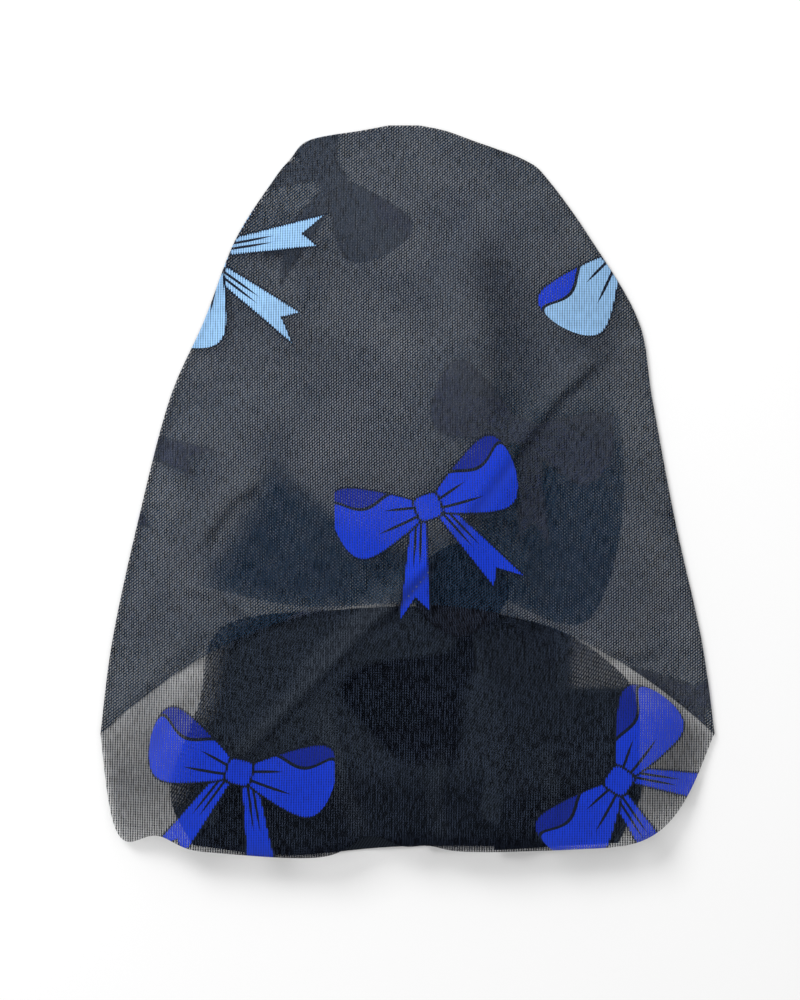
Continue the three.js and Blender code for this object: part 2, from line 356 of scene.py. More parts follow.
class Quantity:
    """A number in a formula. Its arithmetic makes shader nodes or works on whole arrays."""

    def _work(
        self, kind: str, first: "Quantity | float", second: "Quantity | float" = 0.0
    ) -> "Quantity":
        """One step of arithmetic, by its name."""
        raise NotImplementedError

    def __add__(self, other: "Quantity | float") -> "Quantity":
        """Sum."""
        return self._work("ADD", self, other)

    __radd__ = __add__

    def __sub__(self, other: "Quantity | float") -> "Quantity":
        """Difference."""
        return self._work("SUBTRACT", self, other)

    def __rsub__(self, other: "Quantity | float") -> "Quantity":
        """Difference from a plain number."""
        return self._work("SUBTRACT", other, self)

    def __mul__(self, other: "Quantity | float") -> "Quantity":
        """Product."""
        return self._work("MULTIPLY", self, other)

    __rmul__ = __mul__

    def __truediv__(self, other: "Quantity | float") -> "Quantity":
        """Quotient."""
        return self._work("DIVIDE", self, other)

    def __pow__(self, other: float) -> "Quantity":
        """Power."""
        return self._work("POWER", self, other)

    def __mod__(self, other: float) -> "Quantity":
        """What is left after whole multiples of the other."""
        return self._work("FLOORED_MODULO", self, other)

    def __abs__(self) -> "Quantity":
        """Size without its sign."""
        return self._work("ABSOLUTE", self)

    def above(self, limit: "Quantity | float") -> "Quantity":
        """1 where the number is over the limit, and otherwise 0."""
        return self._work("GREATER_THAN", self, limit)

    def below(self, limit: "Quantity | float") -> "Quantity":
        """1 where the number is under the limit, and otherwise 0."""
        return self._work("LESS_THAN", self, limit)

    def floor(self) -> "Quantity":
        """Whole number at or below."""
        return self._work("FLOOR", self)

    def sine(self) -> "Quantity":
        """Sine of an angle in radians."""
        return self._work("SINE", self)

    def cosine(self) -> "Quantity":
        """Cosine of an angle in radians."""
        return self._work("COSINE", self)

    def least(self, other: "Quantity | float") -> "Quantity":
        """The smaller of two."""
        return self._work("MINIMUM", self, other)

    def most(self, other: "Quantity | float") -> "Quantity":
        """The larger of two."""
        return self._work("MAXIMUM", self, other)

    def held(self) -> "Quantity":
        """The number held to 0..1."""
        return self.most(0.0).least(1.0)

    def step(self, low: float, high: float) -> "Quantity":
        """0 up to low, 1 from high on, and a smooth rise between: 3t squared less 2t cubed."""
        part = ((self - low) / (high - low)).held()
        return part * part * (3.0 - 2.0 * part)

    def towards(self, other: "Quantity | float", share: "Quantity") -> "Quantity":
        """The number at share 0, the other at share 1, and in proportion between."""
        return self * (1.0 - share) + share * other


class Signal(Quantity):
    """A number in a shader: one output socket, whose arithmetic adds Math nodes."""

    def __init__(self, graph: "ShaderGraph", socket: bpy.types.NodeSocket) -> None:
        """Wraps an output socket of the graph."""
        self.graph = graph
        self.socket = socket

    def _work(self, kind: str, first: Quantity | float, second: Quantity | float = 0.0) -> "Signal":
        """Adds one Math node."""
        return self.graph.math(kind, first, second)

    def held(self) -> "Signal":
        """The number held to 0..1 by one Clamp node.

        Returns:
            The held number.
        """
        node = self.graph.node("ShaderNodeClamp")
        self.graph.link(self, node.inputs["Value"])
        return Signal(self.graph, node.outputs["Result"])

    def step(self, low: float, high: float) -> "Signal":
        """The same smooth rise by one Map Range node.

        Args:
            low: The rise starts here.
            high: The rise ends here.

        Returns:
            The share risen, 0 to 1.
        """
        node = self.graph.node("ShaderNodeMapRange")
        node.interpolation_type = "SMOOTHSTEP"
        node.inputs["From Min"].default_value = low
        node.inputs["From Max"].default_value = high
        self.graph.link(self, node.inputs["Value"])
        return Signal(self.graph, node.outputs["Result"])

    def towards(self, other: Quantity | float, share: Quantity) -> "Signal":
        """The same mix by one Mix node.

        Args:
            other: The number at share 1.
            share: From 0 to 1.

        Returns:
            The mix.
        """
        node = self.graph.node("ShaderNodeMix")
        for value, socket in ((share, 0), (self, 2), (other, 3)):
            self.graph.link(value, node.inputs[socket])
        return Signal(self.graph, node.outputs[0])


class Field(Quantity):
    """Numbers at many points of a cloth, whose arithmetic works on the whole array."""

    WORK = {
        "ADD": np.add, "SUBTRACT": np.subtract, "MULTIPLY": np.multiply, "DIVIDE": np.divide,
        "POWER": np.power, "FLOORED_MODULO": np.mod,
        "GREATER_THAN": np.greater, "LESS_THAN": np.less,
        "MINIMUM": np.minimum, "MAXIMUM": np.maximum,
        "ABSOLUTE": np.abs, "FLOOR": np.floor, "SINE": np.sin, "COSINE": np.cos,
    }
    ALONE = ("ABSOLUTE", "FLOOR", "SINE", "COSINE")

    def __init__(self, values: Array) -> None:
        """Wraps an array."""
        self.values = values

    def _work(self, kind: str, first: Quantity | float, second: Quantity | float = 0.0) -> "Field":
        """Works on the arrays, with 1 for true and 0 for false.

        Args:
            kind: The step's name.
            first: Its first number.
            second: Its second number, which a step of one number leaves out.

        Returns:
            The result, as an array of plain numbers.
        """
        given = [part.values if isinstance(part, Field) else part for part in (first, second)]
        if kind in self.ALONE:
            given = given[:1]
        return Field(np.asarray(self.WORK[kind](*given), dtype=float))


class ShaderGraph:
    """A material's node tree with short words for the nodes that the finishes use."""

    def __init__(self, name: str) -> None:
        """Makes a material with one Principled shader on its surface.

        Args:
            name: Name of the material.
        """
        self.material = bpy.data.materials.new(name)
        self.material.use_nodes = True
        self._tree = self.material.node_tree
        self._tree.nodes.clear()
        output = self.node("ShaderNodeOutputMaterial")
        self.shader = self.node("ShaderNodeBsdfPrincipled")
        self._tree.links.new(self.shader.outputs["BSDF"], output.inputs["Surface"])

    def node(self, kind: str) -> bpy.types.ShaderNode:
        """Adds one node."""
        return self._tree.nodes.new(kind)

    def link(self, value: Quantity | float, socket: bpy.types.NodeSocket) -> None:
        """Feeds a socket from a signal, or sets it to a number.

        Args:
            value: The signal or the number.
            socket: The input socket.
        """
        if isinstance(value, Signal):
            self._tree.links.new(value.socket, socket)
        else:
            socket.default_value = value

    def math(self, kind: str, a: Quantity | float, b: Quantity | float = 0.0) -> Signal:
        """Adds one Math node.

        Args:
            kind: The node's operation.
            a: Its first number.
            b: Its second number.

        Returns:
            The node's result.
        """
        node = self.node("ShaderNodeMath")
        node.operation = kind
        self.link(a, node.inputs[0])
        self.link(b, node.inputs[1])
        return Signal(self, node.outputs[0])

    def cloth_place(self) -> tuple[Signal, Signal]:
        """Place on the flat cloth, from the piece's own UV map.

        Returns:
            Metres along the cloth's width and along its length.
        """
        uv = self.node("ShaderNodeUVMap")
        uv.uv_map = CLOTH_UV
        split = self.node("ShaderNodeSeparateXYZ")
        self._tree.links.new(uv.outputs["UV"], split.inputs["Vector"])
        return Signal(self, split.outputs["X"]), Signal(self, split.outputs["Y"])

    def attribute(self, name: str) -> Signal:
        """A number that the mesh carries at its points.

        Args:
            name: The number's name.

        Returns:
            The number.
        """
        node = self.node("ShaderNodeAttribute")
        node.attribute_name = name
        return Signal(self, node.outputs["Fac"])

    def noise(self, a: Signal, b: Signal, scale: float, detail: float) -> Signal:
        """Soft cloudy variation over two numbers.

        Args:
            a: First number.
            b: Second number.
            scale: Clouds per unit.
            detail: How many finer clouds are added.

        Returns:
            A number about 0.5.
        """
        join = self.node("ShaderNodeCombineXYZ")
        self.link(a, join.inputs["X"])
        self.link(b, join.inputs["Y"])
        node = self.node("ShaderNodeTexNoise")
        node.noise_dimensions = "2D"
        node.inputs["Scale"].default_value = scale
        node.inputs["Detail"].default_value = detail
        self._tree.links.new(join.outputs["Vector"], node.inputs["Vector"])
        return Signal(self, node.outputs["Fac"])

    def colour(self, value: "Colour | Signal", share: Signal, other: "Colour | Signal") -> Signal:
        """Mixes two colours.

        Args:
            value: The colour at share 0.
            share: From 0 to 1.
            other: The colour at share 1.

        Returns:
            The mixed colour.
        """
        node = self.node("ShaderNodeMix")
        node.data_type = "RGBA"
        self.link(share, node.inputs[0])
        for given, socket in ((value, node.inputs[6]), (other, node.inputs[7])):
            if isinstance(given, Signal):
                self._tree.links.new(given.socket, socket)
            else:
                socket.default_value = (*given, 1.0)
        return Signal(self, node.outputs[2])

    def bump(self, height: Signal, distance: float, strength: float) -> None:
        """Feeds the shader's normal from a height.

        Args:
            height: The height, without a unit.
            distance: Metres for a height of 1.
            strength: Share of the full effect.
        """
        node = self.node("ShaderNodeBump")
        node.inputs["Distance"].default_value = distance
        node.inputs["Strength"].default_value = strength
        self.link(height, node.inputs["Height"])
        self._tree.links.new(node.outputs["Normal"], self.shader.inputs["Normal"])


@dataclass(frozen=True)
class BowPrint:
    """A plain ribbon bow on a half-drop repeat, alternately in two blues.

    In a bow's own frame, p runs along its width and q up, with half its width as the unit. A loop's
    half height grows with the distance from the knot and closes in a round end; the knot is a
    rounded square; a tail is a straight band that widens to a notched end.
    """

    half_width: float = 0.050
    across: float = 0.106
    down: float = 0.280
    shift: tuple[float, float] = (0.0146, -0.0180)
    # Turn of a bow: steps by column, by row and at the start, their swing, and more on odd columns
    turn_steps: tuple[float, float, float] = (2.3, 4.1, 0.4)
    turn_swing: float = 0.9
    turn_odd: float = 0.6
    # Sizes in half widths of a bow
    raised: float = 0.22
    loop_start: float = 0.08
    loop_cut: tuple[float, float] = (0.06, 4.0)
    loop_root: float = 0.09
    loop_spread: float = 0.44
    loop_powers: tuple[float, float] = (0.8, 7.0)
    loop_lift: float = 0.13
    knot_half: float = 0.150
    knot_power: float = 4.0
    tail_root: float = 0.10
    tail_lean: float = 0.42
    tail_widen: float = 0.085
    tail_least: float = 0.01
    tail_span: tuple[float, float] = (0.04, 1.06)
    tail_notch: float = 0.20
    lens_start: float = 0.26
    lens_depth: float = 0.66
    # Drawn pleats of a loop and of a tail: place, and where the line begins and ends to thin out
    loop_pleats: tuple[tuple[float, float, float], ...] = ((-0.22, 0.20, 0.62), (0.45, 0.32, 0.80))
    tail_pleat: tuple[float, float, float] = (0.25, 0.30, 0.85)
    pleat_taper: float = 0.03
    pleat_lines: tuple[float, float] = (0.015, 0.014)
    lens_line: float = 0.018
    line: float = 0.026
    bleed: float = 0.016
    pale: Colour = (0.33, 0.58, 0.90)
    deep: Colour = (0.010, 0.045, 0.62)
    shade: Colour = (0.008, 0.020, 0.27)
    ink: Colour = (0.008, 0.011, 0.018)

    def _own_frame(self, u: Quantity, v: Quantity) -> tuple[Quantity, Quantity, Quantity]:
        """Finds the nearest bow of the half-drop repeat and turns the cloth's place into its frame.

        Args:
            u: Place along the cloth's width.
            v: Place along its length.

        Returns:
            The distance from the bow's middle line, the height above its knot, and 1 in the bows of
            the deeper blue.
        """
        u, v = u - self.shift[0], v - self.shift[1]
        column = (u / self.across + 0.5).floor()
        odd = column % 2.0
        dropped = v + odd * (self.down / 2)
        row = (dropped / self.down + 0.5).floor()
        by_column, by_row, start = self.turn_steps
        swing = (column * by_column + row * by_row + start).sine()
        turn = swing * self.turn_swing + odd * self.turn_odd
        x = (u - column * self.across) / self.half_width
        y = (dropped - row * self.down) / self.half_width
        cosine, sine = turn.cosine(), turn.sine()
        return abs(x * cosine + y * sine), y * cosine - x * sine - self.raised, (row + 1.0) % 2.0

    def parts(self, u: Quantity, v: Quantity, bleed: Quantity | float) -> tuple[Quantity, ...]:
        """The repeat's parts over the cloth, by the formula above.

        Args:
            u: Place along the cloth's width.
            v: Place along its length.
            bleed: How far the ink runs out at its edges, in half widths of a bow.

        Returns:
            1 where there is ink, where a line is drawn, where the inside of a loop shows, and in
            the bows of the deeper blue.
        """
        p, q, deeper = self._own_frame(u, v)
        out = ((p - self.loop_start) / (1 - self.loop_start)).held()
        swell, close = self.loop_powers
        half = (self.loop_root + self.loop_spread * out**swell) * ((1.0 - out**close) ** 0.5)
        lift = q - out * self.loop_lift
        loop = (half - abs(lift)).least((p - self.loop_cut[0]) * self.loop_cut[1]) + bleed
        round_sum = p**self.knot_power + abs(q) ** self.knot_power
        knot = self.knot_half - round_sum ** (1 / self.knot_power) + bleed
        fall = 0.0 - q
        along = abs(p - (self.tail_root + fall * self.tail_lean))
        width = (self.tail_root + fall * self.tail_widen).most(self.tail_least)
        top, bottom = self.tail_span
        end = bottom - self.tail_notch * (1.0 - along / width).held()
        tail = (width - along).least(end - fall).least(fall - top) + bleed

        in_knot, in_loop, in_tail = knot.above(0.0), loop.above(0.0), tail.above(0.0)
        inked = in_knot.most(in_loop).most(in_tail)
        edge = tail.towards(loop, in_loop).towards(knot, in_knot)
        on_loop = in_loop * (1.0 - in_knot)
        upper, lower = (
            abs(lift + half * place) + out.step(begin, stop) * self.pleat_taper
            for place, begin, stop in self.loop_pleats
        )
        place, begin, stop = self.tail_pleat
        fold = abs(along - width * place) + fall.step(begin, stop) * self.pleat_taper
        bow = ((out - self.lens_start) * (np.pi / (1 - self.lens_start))).sine().most(0.0)
        lens = half * (1.0 - self.lens_depth * bow)
        on_lens = out.above(self.lens_start) * on_loop
        hollow = (lift - lens).above(0.0) * on_lens
        lines = edge.below(self.line)
        lines = lines.most(upper.least(lower).below(self.pleat_lines[0]) * on_loop)
        on_tail = in_tail * (1.0 - in_loop) * (1.0 - in_knot)
        lines = lines.most(fold.below(self.pleat_lines[1]) * on_tail)
        lines = lines.most(abs(lift - lens).below(self.lens_line) * on_lens)
        return inked, lines, hollow, deeper

    def draw(
        self, graph: ShaderGraph, u: Signal, v: Signal, thread: Signal
    ) -> tuple[Signal, Signal]:
        """Draws the repeat in a material.

        Args:
            graph: The material.
            u: Place along the cloth's width.
            v: Place along its length.
            thread: The knit's own relief, 0 to 1, along which the ink bleeds at its edges.

        Returns:
            1 where there is ink, and the ink's colour.
        """
        inked, lines, hollow, deeper = self.parts(u, v, (thread - 0.5) * self.bleed)
        fill = graph.colour(self.pale, deeper, self.deep)
        inside = graph.colour(self.deep, deeper, self.shade)
        fill = graph.colour(fill, hollow, inside)
        return inked, graph.colour(fill, lines, self.ink)

    def show_through(self, places: Array) -> Array:
        """1 at each place on the cloth where the print darkens its back, and otherwise 0."""
        return self.parts(Field(places[..., 0]), Field(places[..., 1]), 0.0)[0].values


PRINT_DESIGN = BowPrint()


@dataclass(frozen=True)
class KnitFinish:
    """Sheer knit mesh with small holes, printed on one face.

    The wales and courses are two waves across the cloth, and on the outside noise drawn out along
    the wales breaks them up. A hole opens where their sum is high. Where the yarns crowd, and under
    ink, the holes close; where the cloth thins out, they widen. Where the yarns crowd, their colour
    is also darkened as painted shade, and on a crest the yarns get a painted highlight. The print
    is drawn on one face and shows through on the other.
    """

    name: str
    face: Face
    open_at: tuple[float, float] = (0.0, 0.88)
    ink_fill: float = 0.45
    ink_share: float = 1.0
    cover: tuple[float, float] = (0.0, 1.0)
    relief: float = 1.0
    grain: float = 0.0
    pitch: float = 0.0013
    yarn: Colour = (0.028, 0.039, 0.066)
    # Painted highlight colour of yarns on crests
    crest_highlight: Colour = (0.058, 0.070, 0.092)
    shadow: Colour = (0.0015, 0.0020, 0.0042)
    reverse_ink: Colour = (0.12, 0.14, 0.18)
    # Tint of the ink in the gaps, also its painted shade where the yarns crowd
    gap_and_shade_tint: Colour = (0.02, 0.03, 0.07)
    # Sway of wales and of courses: radians per metre, and how far in radians of the wave
    wale_sway: tuple[float, float] = (23.0, 4.3)
    course_sway: tuple[float, float] = (47.0, 2.9)
    wave_shares: tuple[float, float] = (0.37, 0.13)
    streak_scale: float = 1000.0
    streak_stretch: float = 0.22
    streak_share: float = 0.4
    cloud_scale: float = 34.0
    cloud_share: float = 0.3
    thread_span: tuple[float, float] = (0.15, 0.85)
    reverse_span: tuple[float, float] = (0.2, 0.8)
    glint_gain: float = 1.6
    glint_span: tuple[float, float] = (0.42, 0.98)
    crest_glint: float = 0.7
    # How much crowded yarns are darkened as painted shade on the print and on the reverse, and
    # close the holes
    crowd_painted_shade: tuple[float, float] = (0.85, 0.9)
    crowd_close: float = 0.9
    thin_open: float = 0.9
    # How much the ink darkens towards its gap tint: worn in the gaps, and painted shade where the
    # yarns crowd
    ink_wear_and_shade: tuple[float, float] = (0.32, 0.45)
    rough: tuple[float, float] = (0.78, 0.15)
    specular: float = 0.03
    sheen: float = 0.008
    sheen_rough: float = 0.45
    bump_share: float = -0.5
    bump_size: float = 0.00025
    bump_strength: float = 0.5

    def _weave(self, u: Signal, v: Signal) -> tuple[Signal, Signal]:
        """The knit's two waves: sines across the grain and along it, each swayed by a slow sine.

        Args:
            u: Place along the cloth's width.
            v: Place along its length.

        Returns:
            The wales alone, -1 to 1, and both waves as one number, 0 to 1.
        """
        wave = 2 * np.pi / self.pitch
        if self.grain:
            cosine, sine = float(np.cos(self.grain)), float(np.sin(self.grain))
            u, v = u * cosine + v * sine, v * cosine - u * sine
        wale = (u * wave + (v * self.wale_sway[0]).sine() * self.wale_sway[1]).sine()
        course = (v * wave + (u * self.course_sway[0]).sine() * self.course_sway[1]).sine()
        return wale, wale * self.wave_shares[0] + course * self.wave_shares[1] + 0.5

    def _print_face(
        self, graph: ShaderGraph, u: Signal, v: Signal, weave: Signal, dense_and_shade: Signal
    ) -> tuple[Signal, Signal, Signal, Signal]:
        """Colours the printed face: dark gaps, glints, painted crest highlight and shade, and the
        print.

        Args:
            graph: The material.
            u: Place along the cloth's width.
            v: Place along its length.
            weave: The knit's two waves, 0 to 1.
            dense_and_shade: How closely the yarns crowd, 0 to 1; it darkens them as painted shade.

        Returns:
            The colour, where the gaps are, the yarns' relief and where there is ink.
        """
        streak = graph.noise(u, v * self.streak_stretch, self.streak_scale, 0.0)
        cloud = graph.noise(u, v, self.cloud_scale, 1.0)
        gap = weave + (streak - 0.5) * self.streak_share + (cloud - 0.5) * self.cloud_share
        thread = 1.0 - gap.step(*self.thread_span)
        inked, ink = PRINT_DESIGN.draw(graph, u, v, thread)
        glint = (thread * streak * self.glint_gain).step(*self.glint_span)
        # Ink darkening: wear in the gaps, and painted shade where the yarns crowd
        wear_and_shade = (1.0 - thread) * self.ink_wear_and_shade[0] + dense_and_shade * self.ink_wear_and_shade[1]
        # Yarns darken towards the shadow colour where they crowd: painted shade
        colour = graph.colour(self.shadow, glint * (1.0 - dense_and_shade * self.crowd_painted_shade[0]), self.yarn)
        # Painted highlight on crests
        crest_highlight = graph.attribute(CREST_HIGHLIGHT) * (glint * self.crest_glint + (1 - self.crest_glint))
        colour = graph.colour(colour, crest_highlight, self.crest_highlight)
        colour = graph.colour(colour, inked, graph.colour(ink, wear_and_shade, self.gap_and_shade_tint))
        return colour, gap, thread, inked

    def _reverse_face(
        self, graph: ShaderGraph, weave: Signal, dense_and_shade: Signal
    ) -> tuple[Signal, Signal, Signal, Signal]:
        """Colours the other face: dark gaps, yarns, painted shade, and the print that shows
        through.

        Args:
            graph: The material.
            weave: The knit's two waves, 0 to 1.
            dense_and_shade: How closely the yarns crowd, 0 to 1; it darkens them as painted shade.

        Returns:
            The colour, where the gaps are, the yarns' relief and where there is ink.
        """
        thread = 0.5 + (0.5 - weave.step(*self.reverse_span)) * self.relief
        inked = graph.attribute(SHOW) * self.ink_share
        # Yarns darken towards the shadow colour where they crowd: painted shade
        colour = graph.colour(self.shadow, thread * (1.0 - dense_and_shade * self.crowd_painted_shade[1]), self.yarn)
        return graph.colour(colour, inked, self.reverse_ink), weave, thread, inked

    def material(self) -> bpy.types.Material:
        """Makes the material, with the knit's holes as its alpha.

        Returns:
            The material.
        """
        graph = ShaderGraph(self.name)
        u, v = graph.cloth_place()
        wale, weave = self._weave(u, v)
        # Crowding: above 0 it closes holes and darkens the colour as painted shade, below 0 the
        # cloth thins
        crowd = graph.attribute(CROWD_AND_SHADE)
        dense_and_shade, thin = crowd.most(0.0), crowd.least(0.0)
        if self.face is Face.PRINT:
            colour, gap, thread, inked = self._print_face(graph, u, v, weave, dense_and_shade)
        else:
            colour, gap, thread, inked = self._reverse_face(graph, weave, dense_and_shade)
        closed = (1.0 - dense_and_shade * self.crowd_close) * (1.0 - inked * self.ink_fill)
        hole = gap * closed - thin * self.thin_open
        least, most = self.cover
        knit = (1.0 - hole.step(*self.open_at)) * (most - least) + (thin + 1.0) * least
        inputs = graph.shader.inputs
        graph.link(colour, inputs["Base Color"])
        graph.link(knit + inked.most(dense_and_shade) * (1.0 - most), inputs["Alpha"])
        graph.link(thread * self.rough[1] + self.rough[0], inputs["Roughness"])
        inputs["Specular IOR Level"].default_value = self.specular
        inputs["Sheen Weight"].default_value = self.sheen
        inputs["Sheen Roughness"].default_value = self.sheen_rough
        graph.bump(wale * self.bump_share, self.bump_size, self.bump_strength)
        return graph.material


@dataclass(frozen=True)
class FloorFinish:
    """Plain pale paper under the object."""

    name: str = "pale_floor"
    tone: Colour = (0.94, 0.94, 0.94)
    rough: float = 0.9
    specular: float = 0.1

    def material(self) -> bpy.types.Material:
        """Makes the material.

        Returns:
            The material.
        """
        graph = ShaderGraph(self.name)
        graph.shader.inputs["Base Color"].default_value = (*self.tone, 1.0)
        graph.shader.inputs["Roughness"].default_value = self.rough
        graph.shader.inputs["Specular IOR Level"].default_value = self.specular
        return graph.material


@dataclass(frozen=True)
class Finishes:
    """Every finish of the bandana, made once."""

    front_print: bpy.types.Material
    front_reverse: bpy.types.Material
    nape_print: bpy.types.Material
    nape_reverse: bpy.types.Material
    tie: bpy.types.Material
    tail: bpy.types.Material
    hem: bpy.types.Material
    knot: bpy.types.Material

    @classmethod
    def make(cls) -> "Finishes":
        """Makes the materials.

        Returns:
            One finish for each kind of piece and face.
        """
        front, back = Face.PRINT, Face.REVERSE
        closed = (1.0, 1.5)
        finishes = (
            KnitFinish("front_print", front, cover=(0.15, 0.78)),
            KnitFinish("front_reverse", back, open_at=(0.0, 0.28), ink_fill=0.6),
            KnitFinish("nape_print", front, open_at=(0.0, 0.68), grain=0.9),
            KnitFinish(
                "nape_reverse", back, open_at=(0.08, 0.78), ink_fill=0.35, grain=0.9,
                yarn=(0.03, 0.085, 0.17),
            ),
            KnitFinish(
                "tie_knit", back, open_at=(0.04, 0.72), ink_fill=0.3, ink_share=0.5, grain=0.8,
                yarn=(0.03, 0.12, 0.22),
            ),
            KnitFinish(
                "tail_knit", back, open_at=closed, ink_fill=0.0, ink_share=0.0, grain=-0.6,
                relief=0.5, yarn=(0.072, 0.092, 0.120),
            ),
            KnitFinish("hem_knit", back, open_at=(-0.2, 0.2), ink_fill=0.2),
            KnitFinish(
                "knot_knit", back, open_at=closed, ink_fill=0.0, ink_share=0.5, grain=0.4,
                relief=0.6, yarn=(0.040, 0.042, 0.058),
            ),
        )
        return cls(*(finish.material() for finish in finishes))


@dataclass
class Crown:
    """The bag-shaped crown: a front and a back layer that meet along the sides and over the top.

    Across runs from -1 at the left side to 1 at the right, and up from 0 at the mouth to 1 at the
    top seam. The sides are two curves. The front hem hangs below the corners by a superellipse, and
    the nape edge arches above them by a power curve; both die away towards the top. The layers part
    by a quarter round from the sides, the front lofts over the middle, and the back climbs over the
    ties and the knot.
    """

    half_width: float
    half_length: float
    wall: float = 0.0004
    hem_width: float = 0.008
    hem_ply: float = 0.0003
    hem_gap: float = 0.0002
    hem_rows: int = 4
    columns: int = 210
    rows: int = 204
    fold_radius: float = 0.0014
    fold_loft: float = 0.0022
    body_loft: float = 0.016
    loft_reach: float = 0.045
    follow: float = 0.45
    seam_gap: float = 0.00005
    clearance: float = 0.0018
    edge_steps: int = 900
    row_even: float = 0.7
    row_start: float = 0.145
    row_span: float = 0.030
    top_turn: float = 0.7
    # A bell of crowded yarns along the folded edges, darkened as painted shade
    edge_line: float = 0.0009
    edge_crowd_and_shade: float = 0.25
    front_drop: float = 0.0605
    nape_rise: float = 0.069
    mouth_fade: float = 0.8
    corner_left: tuple[float, float] = (40.0, 1.3)
    corner_right: tuple[float, float] = (10.0, 1.25)
    corner_inside: tuple[float, float] = (2.6, 0.385)
    corner_fade: float = 0.03
    nape_power: float = 2.2
    tie_cover: float = 0.0042
    cover_reach: float = 0.016
    knot_place: tuple[float, float] = (0.0278, -0.0517)
    knot_swell: float = 0.0055
    swell_reach: float = 0.058
    back_shift: tuple[float, float] = (0.0706, -0.040)
    front_flat: tuple[float, float] = (0.33, 0.40)
    front_area: float = 0.102
    back_flat: tuple[float, float] = (0.33, 0.33)
    back_area: float = 0.066
    # Side curves from the lower corners to the top seam: y, and the distances to left and right
    side_rows: tuple[tuple[float, float, float], ...] = (
        (-0.078, 0.1566, 0.156),
        (-0.015, 0.143, 0.142),
        (0.049, 0.1264, 0.130),
        (0.091, 0.108, 0.1225),
        (0.134, 0.0914, 0.0975),
        (0.166, 0.071, 0.0745),
        (0.1765, 0.0625, 0.0620),
        (0.187, 0.052, 0.034),
        (0.1922, 0.0236, 0.0193),
    )
    corner_y: float = -0.128
    top_left: float = 0.010
    top_right: float = 0.006
    # Waves of the front hem: place, drop, half width
    hem_waves: tuple[tuple[float, float, float], ...] = (
        (-0.133, -0.0075, 0.013),
        (-0.058, 0.0042, 0.042),
        (-0.019, -0.0092, 0.014),
        (0.010, -0.0028, 0.010),
        (0.046, 0.0010, 0.032),
        (0.098, -0.0004, 0.030),
    )
    folds: tuple[Fold, ...] = (
        Fold(((0.112, 0.078), (0.017, -0.036)), 0.0032, 0.008),
        Fold(((0.012, -0.040), (-0.094, -0.147)), 0.0032, 0.008),
        Fold(((-0.070, 0.028), (-0.107, -0.028)), 0.0026, 0.009),
        Fold(((0.038, 0.140), (0.046, 0.038)), 0.0024, 0.014),
        Fold(((-0.019, -0.190), (-0.022, -0.130)), 0.0024, 0.010),
    )
    creases: tuple[Crease, ...] = (
        Crease(
            ((0.017, -0.036), (0.065, 0.028), (0.081, 0.049), (0.113, 0.078)),
            0.0026, 0.0032, 0.55, 0.7, 2.2,
        ),
        Crease(
            ((-0.098, -0.154), (-0.066, -0.121), (-0.030, -0.084), (0.020, -0.032)),
            0.0018, 0.0026, 0.35, 0.9,
        ),
        Crease(((-0.060, -0.104), (-0.034, -0.078), (0.004, -0.044)), 0.0012, 0.0022, 0.45, 0.7),
        Crease(((-0.015, -0.072), (0.001, -0.054), (0.019, -0.032)), 0.0012, 0.0020, 0.6, 0.6),
        Crease(((-0.110, -0.032), (-0.092, -0.006), (-0.073, 0.006)), 0.0022, 0.0036, 0.42, 0.6),
        Crease(
            ((0.050, 0.030), (0.049, 0.085), (0.040, 0.142)), 0.0030, 0.0110, 0.28, 0.45, 1.5
        ),
        Crease(((-0.150, -0.126), (-0.126, -0.094), (-0.098, -0.070)), 0.0014, 0.0050, 0.20, 0.6),
        Crease(((-0.140, -0.140), (-0.118, -0.112), (-0.094, -0.090)), 0.0012, 0.0050, 0.18, 0.6),
        Crease(((-0.120, -0.052), (-0.100, -0.056), (-0.080, -0.070)), 0.0009, 0.0026, 0.3, 0.5),
        Crease(((0.136, -0.084), (0.118, -0.088), (0.100, -0.084)), 0.0010, 0.0026, 0.35, 0.5),
        Crease(((0.150, -0.120), (0.128, -0.104), (0.112, -0.098)), 0.0010, 0.0034, 0.25, 0.5),
        Crease(((-0.015, -0.182), (-0.028, -0.152), (-0.040, -0.104)), 0.0009, 0.0034, 0.15, 0.6),
        Crease(((0.026, -0.184), (0.020, -0.160), (0.026, -0.132)), 0.0008, 0.0030, 0.2, 0.4),
        Crease(((0.080, -0.182), (0.084, -0.158), (0.078, -0.130)), 0.0008, 0.0034, 0.2, 0.4),
        # Bands with no rise close the holes and darken the cloth: painted shade over the two lower
        # corners, and a darker band along the front hem
        Crease(((-0.160, -0.115), (-0.140, -0.160), (-0.115, -0.215)), 0.0, 0.024, 0.30, 0.0),
        Crease(((0.160, -0.115), (0.140, -0.160), (0.110, -0.215)), 0.0, 0.024, 0.30, 0.0),
        Crease(
            ((-0.120, -0.190), (-0.058, -0.192), (0.0, -0.184), (0.10, -0.187)),
            0.0, 0.006, 0.7, 0.0,
        ),
    )
    # The right tie, the left tie and the knot
    covers: tuple[Cover, ...] = (
        Cover(((0.076, 0.102), (0.076, -0.040)), 0.050, 0.016, 0.0042),
        Cover(((-0.078, -0.024), (0.0, -0.050)), 0.066, 0.016, 0.0042),
        Cover(((0.0278, -0.0517), (0.0279, -0.0517)), 0.027, 0.030, 0.015),
    )
    # Slow waves of the cloth: height, turns per metre along x and y, phase
    ripples: tuple[tuple[float, float, float, float], ...] = (
        (0.00035, 23.0, 9.0, 0.4),
        (0.00030, -13.0, 19.0, 2.1),
        (0.00022, 31.0, -17.0, 4.0),
        (0.00016, 41.0, 37.0, 1.3),
    )
    sides: Array = field(init=False)
    edges: Array = field(init=False)

